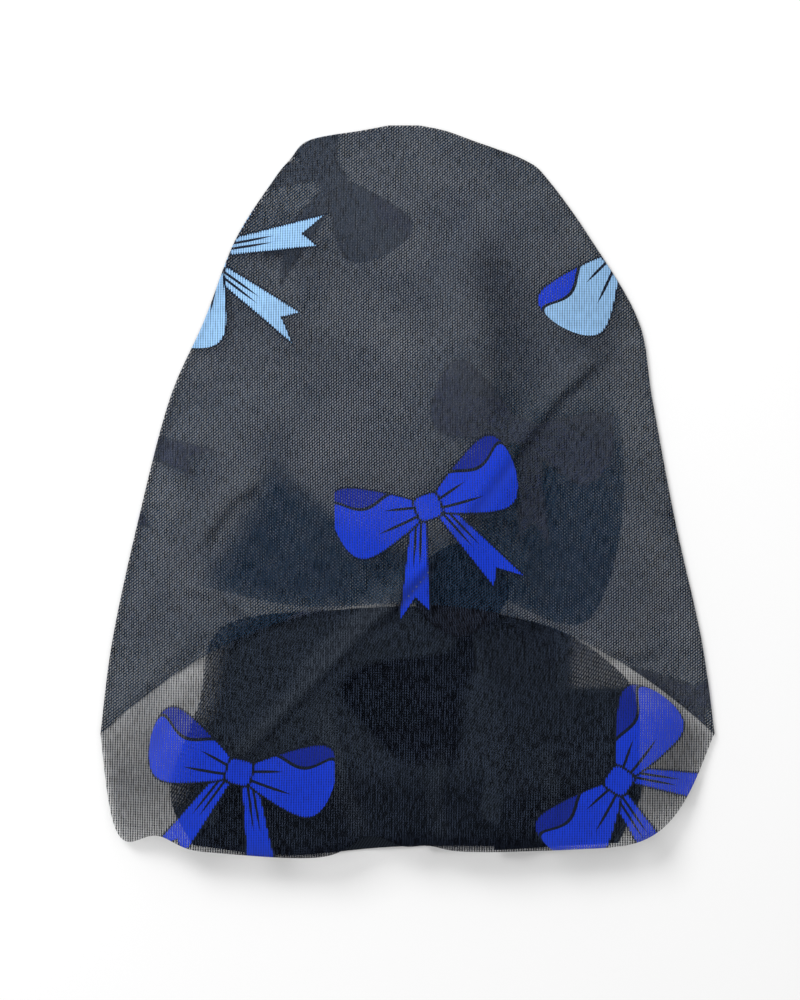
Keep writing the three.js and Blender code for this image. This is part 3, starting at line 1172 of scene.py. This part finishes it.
    def __post_init__(self) -> None:
        """Joins the side rows into one table: y, left x, right x."""
        rows = np.array(
            [(self.corner_y, self.half_width, self.half_width), *self.side_rows,
             (self.half_length, self.top_left, self.top_right)]
        )
        self.sides = np.column_stack([rows[:, 0], -rows[:, 1], rows[:, 2]])
        self.edges = spline(self.sides, np.linspace(0.0, 1.0, self.edge_steps))

    @property
    def hem_top(self) -> float:
        """Share of the way up at the inner edge of the turned hem."""
        return self.hem_width / ((self.sides[1, 0] - self.sides[0, 0]) * (len(self.sides) - 1))

    def _parting(self, distance: Array) -> Array:
        """Share of the full opening at a distance from a side: a quarter round, then flat."""
        left = 1 - np.clip(distance / self.fold_radius, 0.0, 1.0)
        return np.sqrt(1 - left * left)

    def _under(self, x: Array, y: Array) -> Array:
        """Height of the back layer's underside: the highest of what it covers."""
        return np.maximum.reduce([cover.height(x, y) for cover in self.covers])

    def _relief(self, x: Array, y: Array) -> Array:
        """Height of the front layer's folds: the swell over the knot, the ridges and the creases.

        Args:
            x: Plan places.
            y: Plan places, of the same shape.

        Returns:
            The sum of their heights over each point.
        """
        swell = hump(np.hypot(x - self.knot_place[0], y - self.knot_place[1]) / self.swell_reach)
        height = self.knot_swell * swell
        for ridge in (*self.folds, *self.creases):
            height = height + ridge.height(x, y)
        return height

    def _ripple(self, x: Array, y: Array) -> Array:
        """Slow uneven waves of limp cloth: a sum of sines.

        Args:
            x: Plan places.
            y: Plan places, of the same shape.

        Returns:
            Their height over each point.
        """
        return sum(
            high * np.sin(2 * np.pi * (turns_x * x + turns_y * y) + phase)
            for high, turns_x, turns_y, phase in self.ripples
        )

    def surface(self, across: Array, up: Array, layer: Layer, depth: float) -> Array:
        """Points of one layer, at a depth into its wall from the outer face.

        The front's height is its loft with the folds, but never nearer to the back than the
        clearance. Each layer lies half the opening away from the middle between the two, and the
        opening closes by a quarter round at the sides and the top. Heights go by the plan place, so
        that the layers keep clear of each other, and by the row near the top, where rows are short.

        Args:
            across: From -1 to 1, of any shape.
            up: From 0 to 1, of the same shape.
            layer: Front or back.
            depth: Distance into the wall.

        Returns:
            Points, with one more axis than the parameters.
        """
        side = spline(self.sides, up)
        level, left, right = side[..., 0], side[..., 1], side[..., 2]
        half_span = np.maximum((right - left) / 2 - depth, 0.0)
        x = (left + right) / 2 + across * half_span
        to_top = (self.half_length - level) / (self.half_length - self.corner_y)
        fade = np.maximum(to_top, 0.0) ** self.mouth_fade
        reach = np.abs(across)
        sink = depth * smooth((up - self.top_turn) / (1 - self.top_turn))
        y = level - sink
        if layer is Layer.FRONT:
            at_mouth = np.exp(-up / self.corner_fade)
            power, root = (
                inside + (np.where(across < 0, left_corner, right_corner) - inside) * at_mouth
                for inside, left_corner, right_corner in zip(
                    self.corner_inside, self.corner_left, self.corner_right
                )
            )
            waves = sum(drop * hump((x - place) / width) for place, drop, width in self.hem_waves)
            rest = np.maximum(1 - reach**power, 0.0) ** root
            y = y - rest * (self.front_drop + waves * fade * fade) * fade
        else:
            y = y + (1 - reach**self.nape_power) * self.nape_rise * fade
        here = y + sink
        edge_left, edge_right = (
            np.interp(here, self.edges[:, 0], self.edges[:, column]) for column in (1, 2)
        )
        in_plan = np.maximum(np.minimum(x - edge_left, edge_right - x) - depth, 0.0)
        in_row = (1 - reach) * half_span
        by_row = smooth((level - self.row_start) / self.row_span)
        from_side = in_row + (in_plan - in_row) * (1 - by_row)
        from_top = self.half_length - depth - level + sink
        nearest = np.minimum(from_side, from_top)
        rise = smooth(nearest / self.loft_reach)
        under = self._under(x, y) * smooth(nearest / self.cover_reach)
        followed = self.follow * np.minimum(under, self.tie_cover)
        relief = self._relief(x, y) + self._ripple(x, y)
        front = self.fold_loft + (self.body_loft - self.fold_loft + relief) * rise + followed
        front = np.maximum(front, under + self.clearance)
        opened = self._parting(from_side) * self._parting(from_top)
        full = (front - under) / 2 - depth
        half_open = self.seam_gap + (full - self.seam_gap) * opened
        z = (front + under) / 2 + layer.value * half_open
        return np.stack([x, y, z], axis=-1)

    def _tones(self, points: Array, across: Array, layer: Layer) -> tuple[Array, Array]:
        """How closely the yarns crowd, with painted shade, and the painted highlight on crests.

        They crowd, darkened as painted shade, in a bell along the side folds, and the front layer
        adds its creases with their painted highlights.

        Args:
            points: Points of the layer.
            across: Their places from -1 to 1.
            layer: Front or back.

        Returns:
            The crowding with its painted shade, and the painted crest highlights,
            one number for each point.
        """
        x, y = points[..., 0], points[..., 1]
        half_span = (x[:, -1:] - x[:, :1]) / 2
        to_edge = np.minimum((1 - np.abs(across)) * half_span, self.half_length - y)
        crowd = self.edge_crowd_and_shade * hump(to_edge / self.edge_line)
        crest_highlight = np.zeros_like(crowd)
        if layer is Layer.FRONT:
            tones = np.array([crease.tone(x, y) for crease in self.creases])
            crowd = crowd + tones[:, 0].sum(axis=0)
            crest_highlight = crest_highlight + tones[:, 1].sum(axis=0)
        return np.clip(crowd, 0.0, 1.0), np.clip(crest_highlight, 0.0, 1.0)

    def _spread(self, steps: int) -> Array:
        """Places from -1 to 1 that crowd towards both ends: e times (1.5 less half e squared)."""
        even = np.linspace(-1.0, 1.0, steps + 1)
        return even * (1.5 - 0.5 * even * even)

    def _ups(self) -> Array:
        """Places of the rows: partly even along the side curve and partly even in length.

        Returns:
            Shares of the way up, from 0 to 1.
        """
        even = np.linspace(0.0, 1.0, self.rows + 1)
        level = self.corner_y + (self.half_length - self.corner_y) * even
        by_level = np.interp(level, self.edges[:, 0], np.linspace(0.0, 1.0, self.edge_steps))
        return even + (by_level - even) * self.row_even

    def _cloth(self, points: Array, layer: Layer) -> Array:
        """Places on the flat cloth: the front as it lies, and the back turned over and moved along.

        Args:
            points: Points of the layer.
            layer: Front or back.

        Returns:
            Two numbers for each point.
        """
        x, y = points[..., 0], points[..., 1]
        if layer is Layer.BACK:
            x, y = self.back_shift[0] - x, self.back_shift[1] + y
        return np.stack([x, y], axis=-1)

    def build_panel(self, name: str, layer: Layer, finishes: Finishes) -> bpy.types.Object:
        """Builds one layer as a thin closed shell, printed outside.

        Args:
            name: Name of the piece.
            layer: Front or back.
            finishes: The materials.

        Returns:
            The panel's piece.
        """
        builder = MeshBuilder()
        under = layer is Layer.BACK
        across, up = np.meshgrid(self._spread(self.columns), self._ups())
        tones: dict[str, list[Array]] = {CROWD_AND_SHADE: [], CREST_HIGHLIGHT: [], SHOW: []}
        faces = []
        for slot, depth in enumerate((0.0, self.wall)):
            points = self.surface(across, up, layer, depth)
            uv = self._cloth(points, layer)
            faces.append(builder.add_points(points))
            builder.add_grid(faces[-1], uv, slot, under != bool(slot))
            crowd, crest_highlight = self._tones(points, across, layer)
            shown = PRINT_DESIGN.show_through(uv)
            for label, values in ((CROWD_AND_SHADE, crowd), (CREST_HIGHLIGHT, crest_highlight), (SHOW, shown)):
                tones[label].append(values.ravel())
        outer, inner = faces
        every = slice(None)
        for edge, turned in (
            ((0, every), under), ((-1, every), not under),
            ((every, 0), not under), ((every, -1), under),
        ):
            rim, rim_uv = np.stack([inner[edge], outer[edge]]), np.stack([uv[edge], uv[edge]])
            builder.add_grid(rim, rim_uv, 1, turned)
        outside = finishes.nape_print if under else finishes.front_print
        inside = finishes.nape_reverse if under else finishes.front_reverse
        joined = {label: np.concatenate(values) for label, values in tones.items()}
        return builder.build(name, [outside, inside], joined)

    def _ring(self, levels: Array, depth: float) -> Array:
        """Rings round the mouth: the front from left to right, then the back from right to left.

        Args:
            levels: Share of the way up of each ring.
            depth: Distance into the wall.

        Returns:
            Points, rings by places round by 3.
        """
        drawn = self._spread(self.columns)[:-1]
        parts = [
            self.surface(*np.meshgrid(drawn * layer.value, levels), layer, depth) for layer in Layer
        ]
        return np.concatenate(parts, axis=1)

    def build_hem(self, finishes: Finishes) -> bpy.types.Object:
        """Builds the turned edge: a closed band against the inner face all round the mouth.

        Args:
            finishes: The materials.

        Returns:
            The hem's piece.
        """
        builder = MeshBuilder()
        levels = np.linspace(0.0, self.hem_top, self.hem_rows)
        near, far = self.wall + self.hem_gap, self.wall + self.hem_gap + self.hem_ply
        outside, inside = self._ring(levels, near), self._ring(levels[::-1], far)
        place = outside[..., :2]
        section = np.concatenate([outside, inside, outside[:1]])
        numbers = builder.add_points(section[:-1])
        numbers = np.concatenate([numbers, numbers[:1]])
        numbers = np.concatenate([numbers, numbers[:, :1]], 1)
        uv = np.concatenate([place, place[::-1], place[:1]])
        uv = np.concatenate([uv, uv[:, :1]], 1)
        builder.add_grid(numbers, uv)
        return builder.build("hem_turn", [finishes.hem])

    def dress(self, finishes: Finishes) -> list[bpy.types.Object]:
        """Builds the crown's pieces and ties them to the frame.

        Args:
            finishes: The materials.

        Returns:
            The two panels and the hem.
        """
        front = self.build_panel("crown_front_cloth", Layer.FRONT, finishes)
        back = self.build_panel("crown_back_cloth", Layer.BACK, finishes)
        hem = self.build_hem(finishes)
        for piece, slot, node in (
            (front, "knit_mesh", "crown_front"),
            (back, "knit_mesh", "crown_back"),
            (hem, "turned_hem", "hem"),
        ):
            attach(piece, "root")
            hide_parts(node)
        return [front, back, hem]


@dataclass
class Strip:
    """A tie or a tail: cloth gathered into the knot and spread at its far end.

    Along runs from the knot outwards and across from one edge to the other. The cross-section is a
    curve through given points, each a share across, a count of layers up and its part in the fold's
    drift, so it can fold back on itself; the drift is a hyperbola along the strip, levelled off by
    a sixth-power mean so that one fold never passes the next. All layers lie in soft gathers, a
    squared sine across, with finer pleats near the knot, and climb into the knot at the root. The
    far end can bulge in a bell.
    """

    name: str
    edge_a: tuple[tuple[float, float], ...]
    edge_b: tuple[tuple[float, float], ...]
    ripples: int
    held: Held
    flat_size: tuple[float, float]
    flat_area: float
    cloth_shift: tuple[float, float]
    section: tuple[tuple[float, float, float], ...] = (
        (0.0, 0.0, 0.0), (0.5, 0.0, 0.0), (1.0, 0.0, 0.0)
    )
    thin_a: float = 0.0
    thin_b: float = 0.0
    thin_end: float = 0.0
    thin_corner: tuple[float, float] = (1.0, 1.0)
    # Crowding, which darkens the colour as painted shade and closes a tie's holes: all over, where
    # layers stack, and towards the far end
    dense_and_shade: float = 0.0
    layer_dense_and_shade: float = 0.0
    end_dense_and_shade: float = 0.0
    end_start: float = 0.66
    thin_start: float = 0.55
    soft_span: tuple[float, float] = (-1.0, 2.0)
    fold_round: float = 0.04
    end_bulge: tuple[float, float, float] = (0.0, 0.0, 1.0)
    fold_drift: tuple[float, float, float] = (0.5, 0.0, 0.0)
    drift_most: float = 0.30
    wall: float = 0.0007
    layer_step: float = 0.0010
    ripple_rise: float = 0.0013
    ripple_loss: float = 0.4
    root_rise: float = 0.0032
    root_share: float = 0.2
    pleats: int = 11
    pleat_rise: float = 0.0007
    pleat_end: float = 0.75
    pleat_sway: tuple[float, float] = (0.04, 7.0)
    bulge_power: int = 4
    drift_power: int = 6
    # Lengths along over which tones change: layers out, far end in, thin edges in and out
    layer_fade: float = 0.1
    end_fade: float = 0.16
    soft_fades: tuple[float, float] = (0.2, 0.12)
    corner_fades: tuple[float, float] = (0.012, 0.004)
    corner_thin: float = 0.85
    thin_least: float = 0.02
    blur: int = 3
    thin_share: float = 0.16
    rows: int = 110
    columns: int = 120

    def _grids(self) -> tuple[Array, Array, Array]:
        """Works out both faces of the strip.

        The middle of the wall is the cross-section carried along the two edges; each face lies half
        the wall away from it, square to the cross-section.

        Returns:
            Points of the lower and of the upper face, rows by columns by 3, and their share across.
        """
        along, place = np.meshgrid(
            np.linspace(0.0, 1.0, self.rows + 1),
            np.linspace(0.0, 1.0, self.columns + 1),
            indexing="ij",
        )
        curve = spline(np.array(self.section), place)
        curve[..., 1] = np.maximum(curve[..., 1], 0.0)
        middle, before, after = self.fold_drift
        off = along - middle
        bend = np.hypot(off, self.fold_round) - self.fold_round
        drift = np.where(off < 0, before, after) * bend
        over = (drift / self.drift_most) ** self.drift_power
        drift = drift / (1 + over) ** (1 / self.drift_power)
        share = curve[..., 0] + curve[..., 2] * drift
        a = spline(np.array(self.edge_a), along)
        b = spline(np.array(self.edge_b), along)
        width = np.linalg.norm(b - a, axis=-1)
        slope_x = np.gradient(share, axis=1) * width
        slope_z = np.gradient(curve[..., 1], axis=1) * self.layer_step
        length = np.maximum(np.hypot(slope_x, slope_z), 1e-9)
        faces = []
        for side in (-0.5, 0.5):
            across = share - side * self.wall * slope_z / length / width
            high = curve[..., 1] * self.layer_step + self.wall * (0.5 + side * slope_x / length)
            plan = a + (b - a) * across[..., None]
            centre, drop, half_width = self.end_bulge
            bulge = drop * hump((plan[..., 0] - centre) / half_width)
            plan[..., 1] -= bulge * along**self.bulge_power
            root = self.root_rise * (1 - smooth(along / self.root_share))
            gather = np.sin(np.pi * self.ripples * across) ** 2 * (1 - self.ripple_loss * along)
            sway = self.pleat_sway[0] * np.sin(self.pleat_sway[1] * along)
            pleat = np.sin(np.pi * self.pleats * (across + sway)) ** 2
            pleat = self.pleat_rise * pleat * (1 - smooth(along / self.pleat_end))
            z = root + self.ripple_rise * gather + pleat + high
            faces.append(np.concatenate([plan, z[..., None]], axis=-1))
        return faces[0], faces[1], share

    def _crowding(self, across: Array, plan: Array) -> Array:
        """How crowded the cloth looks at each point, darkened as painted shade; less than 0 where
        it thins out.

        One more layer is counted for each other stretch of the cross-section that passes a point's
        share across; more layers, and the far end, get more painted shade. Towards its two edges
        and its far end the cloth can thin out instead.

        Args:
            across: Share across, rows by columns.
            plan: Plan places, rows by columns by 2 or more.

        Returns:
            Numbers from -1 to 1, of the same shape.
        """
        along = np.linspace(0.0, 1.0, self.rows + 1)[:, None]
        start, stop, here = across[:, None, :-1], across[:, None, 1:], across[:, :, None]
        passes = ((start - here) * (stop - here) < 0).sum(axis=2)
        padded = np.pad(passes, ((0, 0), (self.blur, self.blur)), mode="edge")
        windows = np.lib.stride_tricks.sliding_window_view(padded, 2 * self.blur + 1, axis=1)
        past_end = along - self.end_start
        stacked = windows.mean(axis=-1) * (1 - smooth(past_end / self.layer_fade))
        dense_and_shade = self.dense_and_shade + self.layer_dense_and_shade * stacked
        dense_and_shade = np.maximum(dense_and_shade, self.end_dense_and_shade * smooth(past_end / self.end_fade))
        thin = np.maximum(
            self.thin_a * (1 - smooth(across / self.thin_share)),
            self.thin_b * (1 - smooth((1 - across) / self.thin_share)),
        )
        (soft_from, soft_to), (fade_in, fade_out) = self.soft_span, self.soft_fades
        thin = thin * smooth((along - soft_from) / fade_in)
        thin = thin * (1 - smooth((along - soft_to) / fade_out))
        far = smooth((along - self.thin_start) / (1 - self.thin_start))
        thin = np.maximum(thin, self.thin_end * far)
        corner_x, corner_y = (
            smooth((plan[..., axis] - self.thin_corner[axis]) / self.corner_fades[axis])
            for axis in (0, 1)
        )
        thin = np.maximum(thin, self.corner_thin * (corner_x * corner_y))
        return np.clip(np.where(thin > self.thin_least, -thin, dense_and_shade), -1.0, 1.0)

    def build(self, finishes: Finishes) -> bpy.types.Object:
        """Builds the strip as a thin closed shell and ties it to the frame.

        Args:
            finishes: The materials.

        Returns:
            The strip's piece.
        """
        builder = MeshBuilder()
        low, high, across = self._grids()
        lower, upper = builder.add_points(low), builder.add_points(high)
        uv = low[..., :2] + np.array(self.cloth_shift)
        builder.add_grid(lower, uv)
        builder.add_grid(upper, uv, flip=True)
        every = slice(None)
        for edge, flip in (
            ((0, every), False), ((-1, every), True), ((every, 0), True), ((every, -1), False)
        ):
            rim, rim_uv = np.stack([upper[edge], lower[edge]]), np.stack([uv[edge], uv[edge]])
            builder.add_grid(rim, rim_uv, flip=flip)
        tones = {
            CROWD_AND_SHADE: np.tile(self._crowding(across, low).ravel(), 2),
            SHOW: np.tile(PRINT_DESIGN.show_through(uv).ravel(), 2),
        }
        finish = finishes.tail if self.name.startswith("tail") else finishes.tie
        piece = builder.build(f"{self.name}_cloth", [finish], tones)
        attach(piece, "root")
        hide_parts(self.name)
        return piece


@dataclass
class Knot:
    """The knot at the nape: a flattened lump with a diamond plan, pleats, and one wrap across it.

    The plan is a superellipse of low power, the sides close by a power of the cosine of the tilt,
    the wrap is a bell across its own direction, and the pleats are sines that run with it.
    """

    place: tuple[float, float] = (0.0278, -0.0517)
    half_width: float = 0.026
    half_length: float = 0.025
    height: float = 0.013
    power: float = 1.6
    sides: float = 0.5
    wrap_rise: float = 0.0014
    wrap_half_width: float = 0.009
    wrap_turn: float = 0.5
    pleat_rise: float = 0.00035
    pleat_pitch: float = 0.0045
    pleat_slant: float = 0.35
    around: int = 120
    steps: int = 60

    def build(self, finishes: Finishes) -> bpy.types.Object:
        """Builds the knot and ties it to the frame.

        Args:
            finishes: The materials.

        Returns:
            The knot's piece.
        """
        builder = MeshBuilder()
        tilt, turn = np.meshgrid(
            np.linspace(-np.pi / 2, np.pi / 2, self.steps + 1)[1:-1],
            np.linspace(0.0, 2 * np.pi, self.around, endpoint=False),
            indexing="ij",
        )
        cosine, sine = np.cos(turn), np.sin(turn)
        plan = (np.abs(cosine) ** self.power + np.abs(sine) ** self.power) ** (-1 / self.power)
        radius = plan * np.cos(tilt) ** self.sides
        x, y = cosine * radius * self.half_width, sine * radius * self.half_length
        off_wrap = x * np.sin(self.wrap_turn) + y * np.cos(self.wrap_turn)
        on_wrap = hump(off_wrap / self.wrap_half_width)
        along_wrap = x * np.cos(self.wrap_turn) - y * np.sin(self.wrap_turn)
        with_wrap = np.sin(2 * np.pi * off_wrap / self.pleat_pitch) * on_wrap
        slanted = off_wrap * self.pleat_slant + along_wrap
        with_tie = np.sin(2 * np.pi * slanted / self.pleat_pitch) * (1 - on_wrap)
        pleats = self.pleat_rise * (with_wrap + with_tie - 1) * np.cos(tilt)
        raised = (self.wrap_rise * on_wrap + pleats) * smooth(tilt)
        z = self.height / 2 * (1 + np.sin(tilt)) + raised
        points = np.stack([self.place[0] + x, self.place[1] + y, z], axis=-1)
        numbers = builder.add_points(points)
        closed = np.concatenate([numbers, numbers[:, :1]], 1)
        uv = np.concatenate([points, points[:, :1]], 1)[..., :2]
        builder.add_grid(closed, uv)
        crown = self.height + self.wrap_rise - 2 * self.pleat_rise
        ends = np.array([[*self.place, 0.0], [*self.place, crown]])
        bottom, top = builder.add_points(ends)
        builder.add_fan(closed[0], int(bottom), uv[0], ends[0, :2], flip=True)
        builder.add_fan(closed[-1], int(top), uv[-1], ends[1, :2], flip=False)
        piece = builder.build("knot_cloth", [finishes.knot])
        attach(piece, "root")
        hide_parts("knot")
        return piece


STRIPS = (
    Strip(
        "tie_left",
        edge_a=((0.016, -0.036), (-0.008, -0.028), (-0.042, -0.006), (-0.076, 0.024)),
        edge_b=((0.016, -0.056), (-0.012, -0.0585), (-0.060, -0.0600), (-0.120, -0.047)),
        ripples=3, held=Held.GATHERED, flat_size=(0.115, 0.090), flat_area=0.0064,
        cloth_shift=(0.31, 0.02), thin_a=0.4, thin_b=0.1, thin_end=0.7, thin_start=0.84,
        end_dense_and_shade=0.12, end_start=0.40,
    ),
    Strip(
        "tie_right",
        edge_a=((0.044, -0.0525), (0.095, -0.0680), (0.115, 0.004), (0.100, 0.112)),
        edge_b=((0.024, -0.044), (0.030, -0.010), (0.038, 0.040), (0.044, 0.132)),
        ripples=3, held=Held.GATHERED, flat_size=(0.185, 0.085), flat_area=0.0139,
        cloth_shift=(0.11, 0.31), thin_b=0.9, thin_end=0.8, dense_and_shade=0.06,
    ),
    Strip(
        "tail_left",
        edge_a=(
            (0.020, -0.060), (-0.036, -0.0622), (-0.098, -0.071), (-0.111, -0.112),
            (-0.126, -0.158), (-0.114, -0.1852),
        ),
        edge_b=(
            (0.034, -0.066), (0.056, -0.098), (0.064, -0.116), (0.066, -0.136),
            (0.063, -0.160), (0.056, -0.1878),
        ),
        ripples=4, held=Held.LAID, flat_size=(0.24, 0.16), flat_area=0.030,
        cloth_shift=(0.05, 0.21),
        section=(
            (0.0, 0.0, 0.0), (0.2, 0.0, 0.0), (0.4, 0.0, 0.0), (0.6, 0.0, 0.0), (0.774, 0.0, 0.0),
            (0.783, 0.5, 0.0), (0.774, 1.0, 0.0), (0.6, 1.0, 0.5), (0.439, 1.0, 1.0),
            (0.43, 1.5, 1.0), (0.439, 2.0, 1.0), (0.62, 2.0, 0.5), (0.79, 2.0, 0.0),
            (0.9, 0.6, 0.0), (1.0, 0.1, 0.0),
        ),
        fold_drift=(0.50, 0.78, 1.30), end_bulge=(-0.066, 0.0066, 0.045), thin_a=0.95, thin_b=0.62,
        thin_share=0.14, soft_span=(0.2, 0.80), layer_dense_and_shade=0.46, end_dense_and_shade=0.76, wall=0.0004,
        layer_step=0.0013, columns=240,
    ),
    Strip(
        "tail_right",
        edge_a=(
            (0.030, -0.066), (0.046, -0.098), (0.055, -0.130), (0.052, -0.158), (0.046, -0.1895)
        ),
        edge_b=(
            (0.040, -0.0625), (0.082, -0.0738), (0.115, -0.0975), (0.122, -0.117),
            (0.1225, -0.140), (0.124, -0.160), (0.112, -0.186),
        ),
        ripples=3, held=Held.LAID, flat_size=(0.120, 0.085), flat_area=0.0085,
        cloth_shift=(0.21, 0.05),
        section=(
            (0.0, 3.9, 0.0), (0.2, 3.8, 0.0), (0.45, 1.4, 0.0), (0.7, 0.0, 0.0), (1.0, 0.0, 0.0)
        ),
        thin_b=0.5, thin_share=0.05, thin_corner=(0.078, -0.1065), dense_and_shade=0.4, end_dense_and_shade=0.8,
    ),
)


@dataclass
class Studio:
    """Pale floor, soft light from the upper left, and a camera straight above."""

    view_centre: tuple[float, float] = (-0.004, -0.004)
    view_height: float = 0.530
    view_level: float = 0.004
    lens: float = 135.0
    sensor: float = 36.0
    floor_half: float = 3.0
    floor_drop: float = 0.0003
    see_through_bounces: int = 32
    diffuse_bounces: int = 1
    most_bounces: int = 2
    sky: float = 0.72
    key_power: float = 26.0
    key_size: float = 0.9
    key_place: tuple[float, float, float] = (-1.05, 1.15, 1.20)

    def build(self) -> None:
        """Builds the floor, the lights and the camera."""
        self._floor()
        self._light()
        self._camera()

    def _floor(self) -> None:
        """One flat square at the surface, just under the object."""
        builder = MeshBuilder()
        line = np.linspace(-self.floor_half, self.floor_half, 3)
        x, y = np.meshgrid(line, line)
        points = np.stack([x, y, np.full_like(x, -self.floor_drop)], axis=-1)
        builder.add_grid(builder.add_points(points), points[..., :2])
        floor = builder.build("floor", [FloorFinish().material()])

    def _light(self) -> None:
        """An even pale sky, and one broad lamp that aims at the middle."""
        world = bpy.data.worlds.new("sky")
        world.use_nodes = True
        back = world.node_tree.nodes["Background"]
        back.inputs["Color"].default_value = (1.0, 1.0, 1.0, 1.0)
        back.inputs["Strength"].default_value = self.sky
        scene = bpy.context.scene
        scene.world = world
        lamp = bpy.data.lights.new("key", "AREA")
        lamp.energy = self.key_power
        lamp.size = self.key_size
        key = bpy.data.objects.new("key", lamp)
        place = np.array(self.key_place)
        key.location = place
        level = np.hypot(place[0], place[1])
        turn = np.arctan2(place[1], place[0]) + np.pi / 2
        key.rotation_euler = (np.arctan2(level, place[2]), 0.0, turn)
        scene.collection.objects.link(key)
        scene.view_settings.view_transform = "Standard"
        scene.cycles.transparent_max_bounces = self.see_through_bounces
        scene.cycles.diffuse_bounces = self.diffuse_bounces
        scene.cycles.max_bounces = self.most_bounces

    def _camera(self) -> None:
        """A camera straight above, with the photograph's frame on the surface."""
        lens = bpy.data.cameras.new("camera")
        lens.lens = self.lens
        lens.sensor_width = self.sensor
        camera = bpy.data.objects.new("camera", lens)
        distance = self.view_height * self.lens / self.sensor
        camera.location = (*self.view_centre, self.view_level + distance)
        bpy.context.scene.collection.objects.link(camera)
        bpy.context.scene.camera = camera


def main() -> None:
    """Loads the frame, builds each part of the bandana over it, and sets the studio."""
    logging.basicConfig(level=logging.INFO, format="%(name)s: %(message)s")
    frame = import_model()
    LOG.info("frame: %d nodes", len(frame["nodes"]))
    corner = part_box("crown_front")[1]
    Studio().build()
    finishes = Finishes.make()
    crown = Crown(half_width=float(corner[0]), half_length=float(corner[1]))
    pieces = crown.dress(finishes)
    pieces += [strip.build(finishes) for strip in STRIPS]
    pieces.append(Knot().build(finishes))
    for piece in pieces:
        LOG.info("%s: %d faces", piece.name, len(piece.data.polygons))


if __name__ == "__main__":
    main()
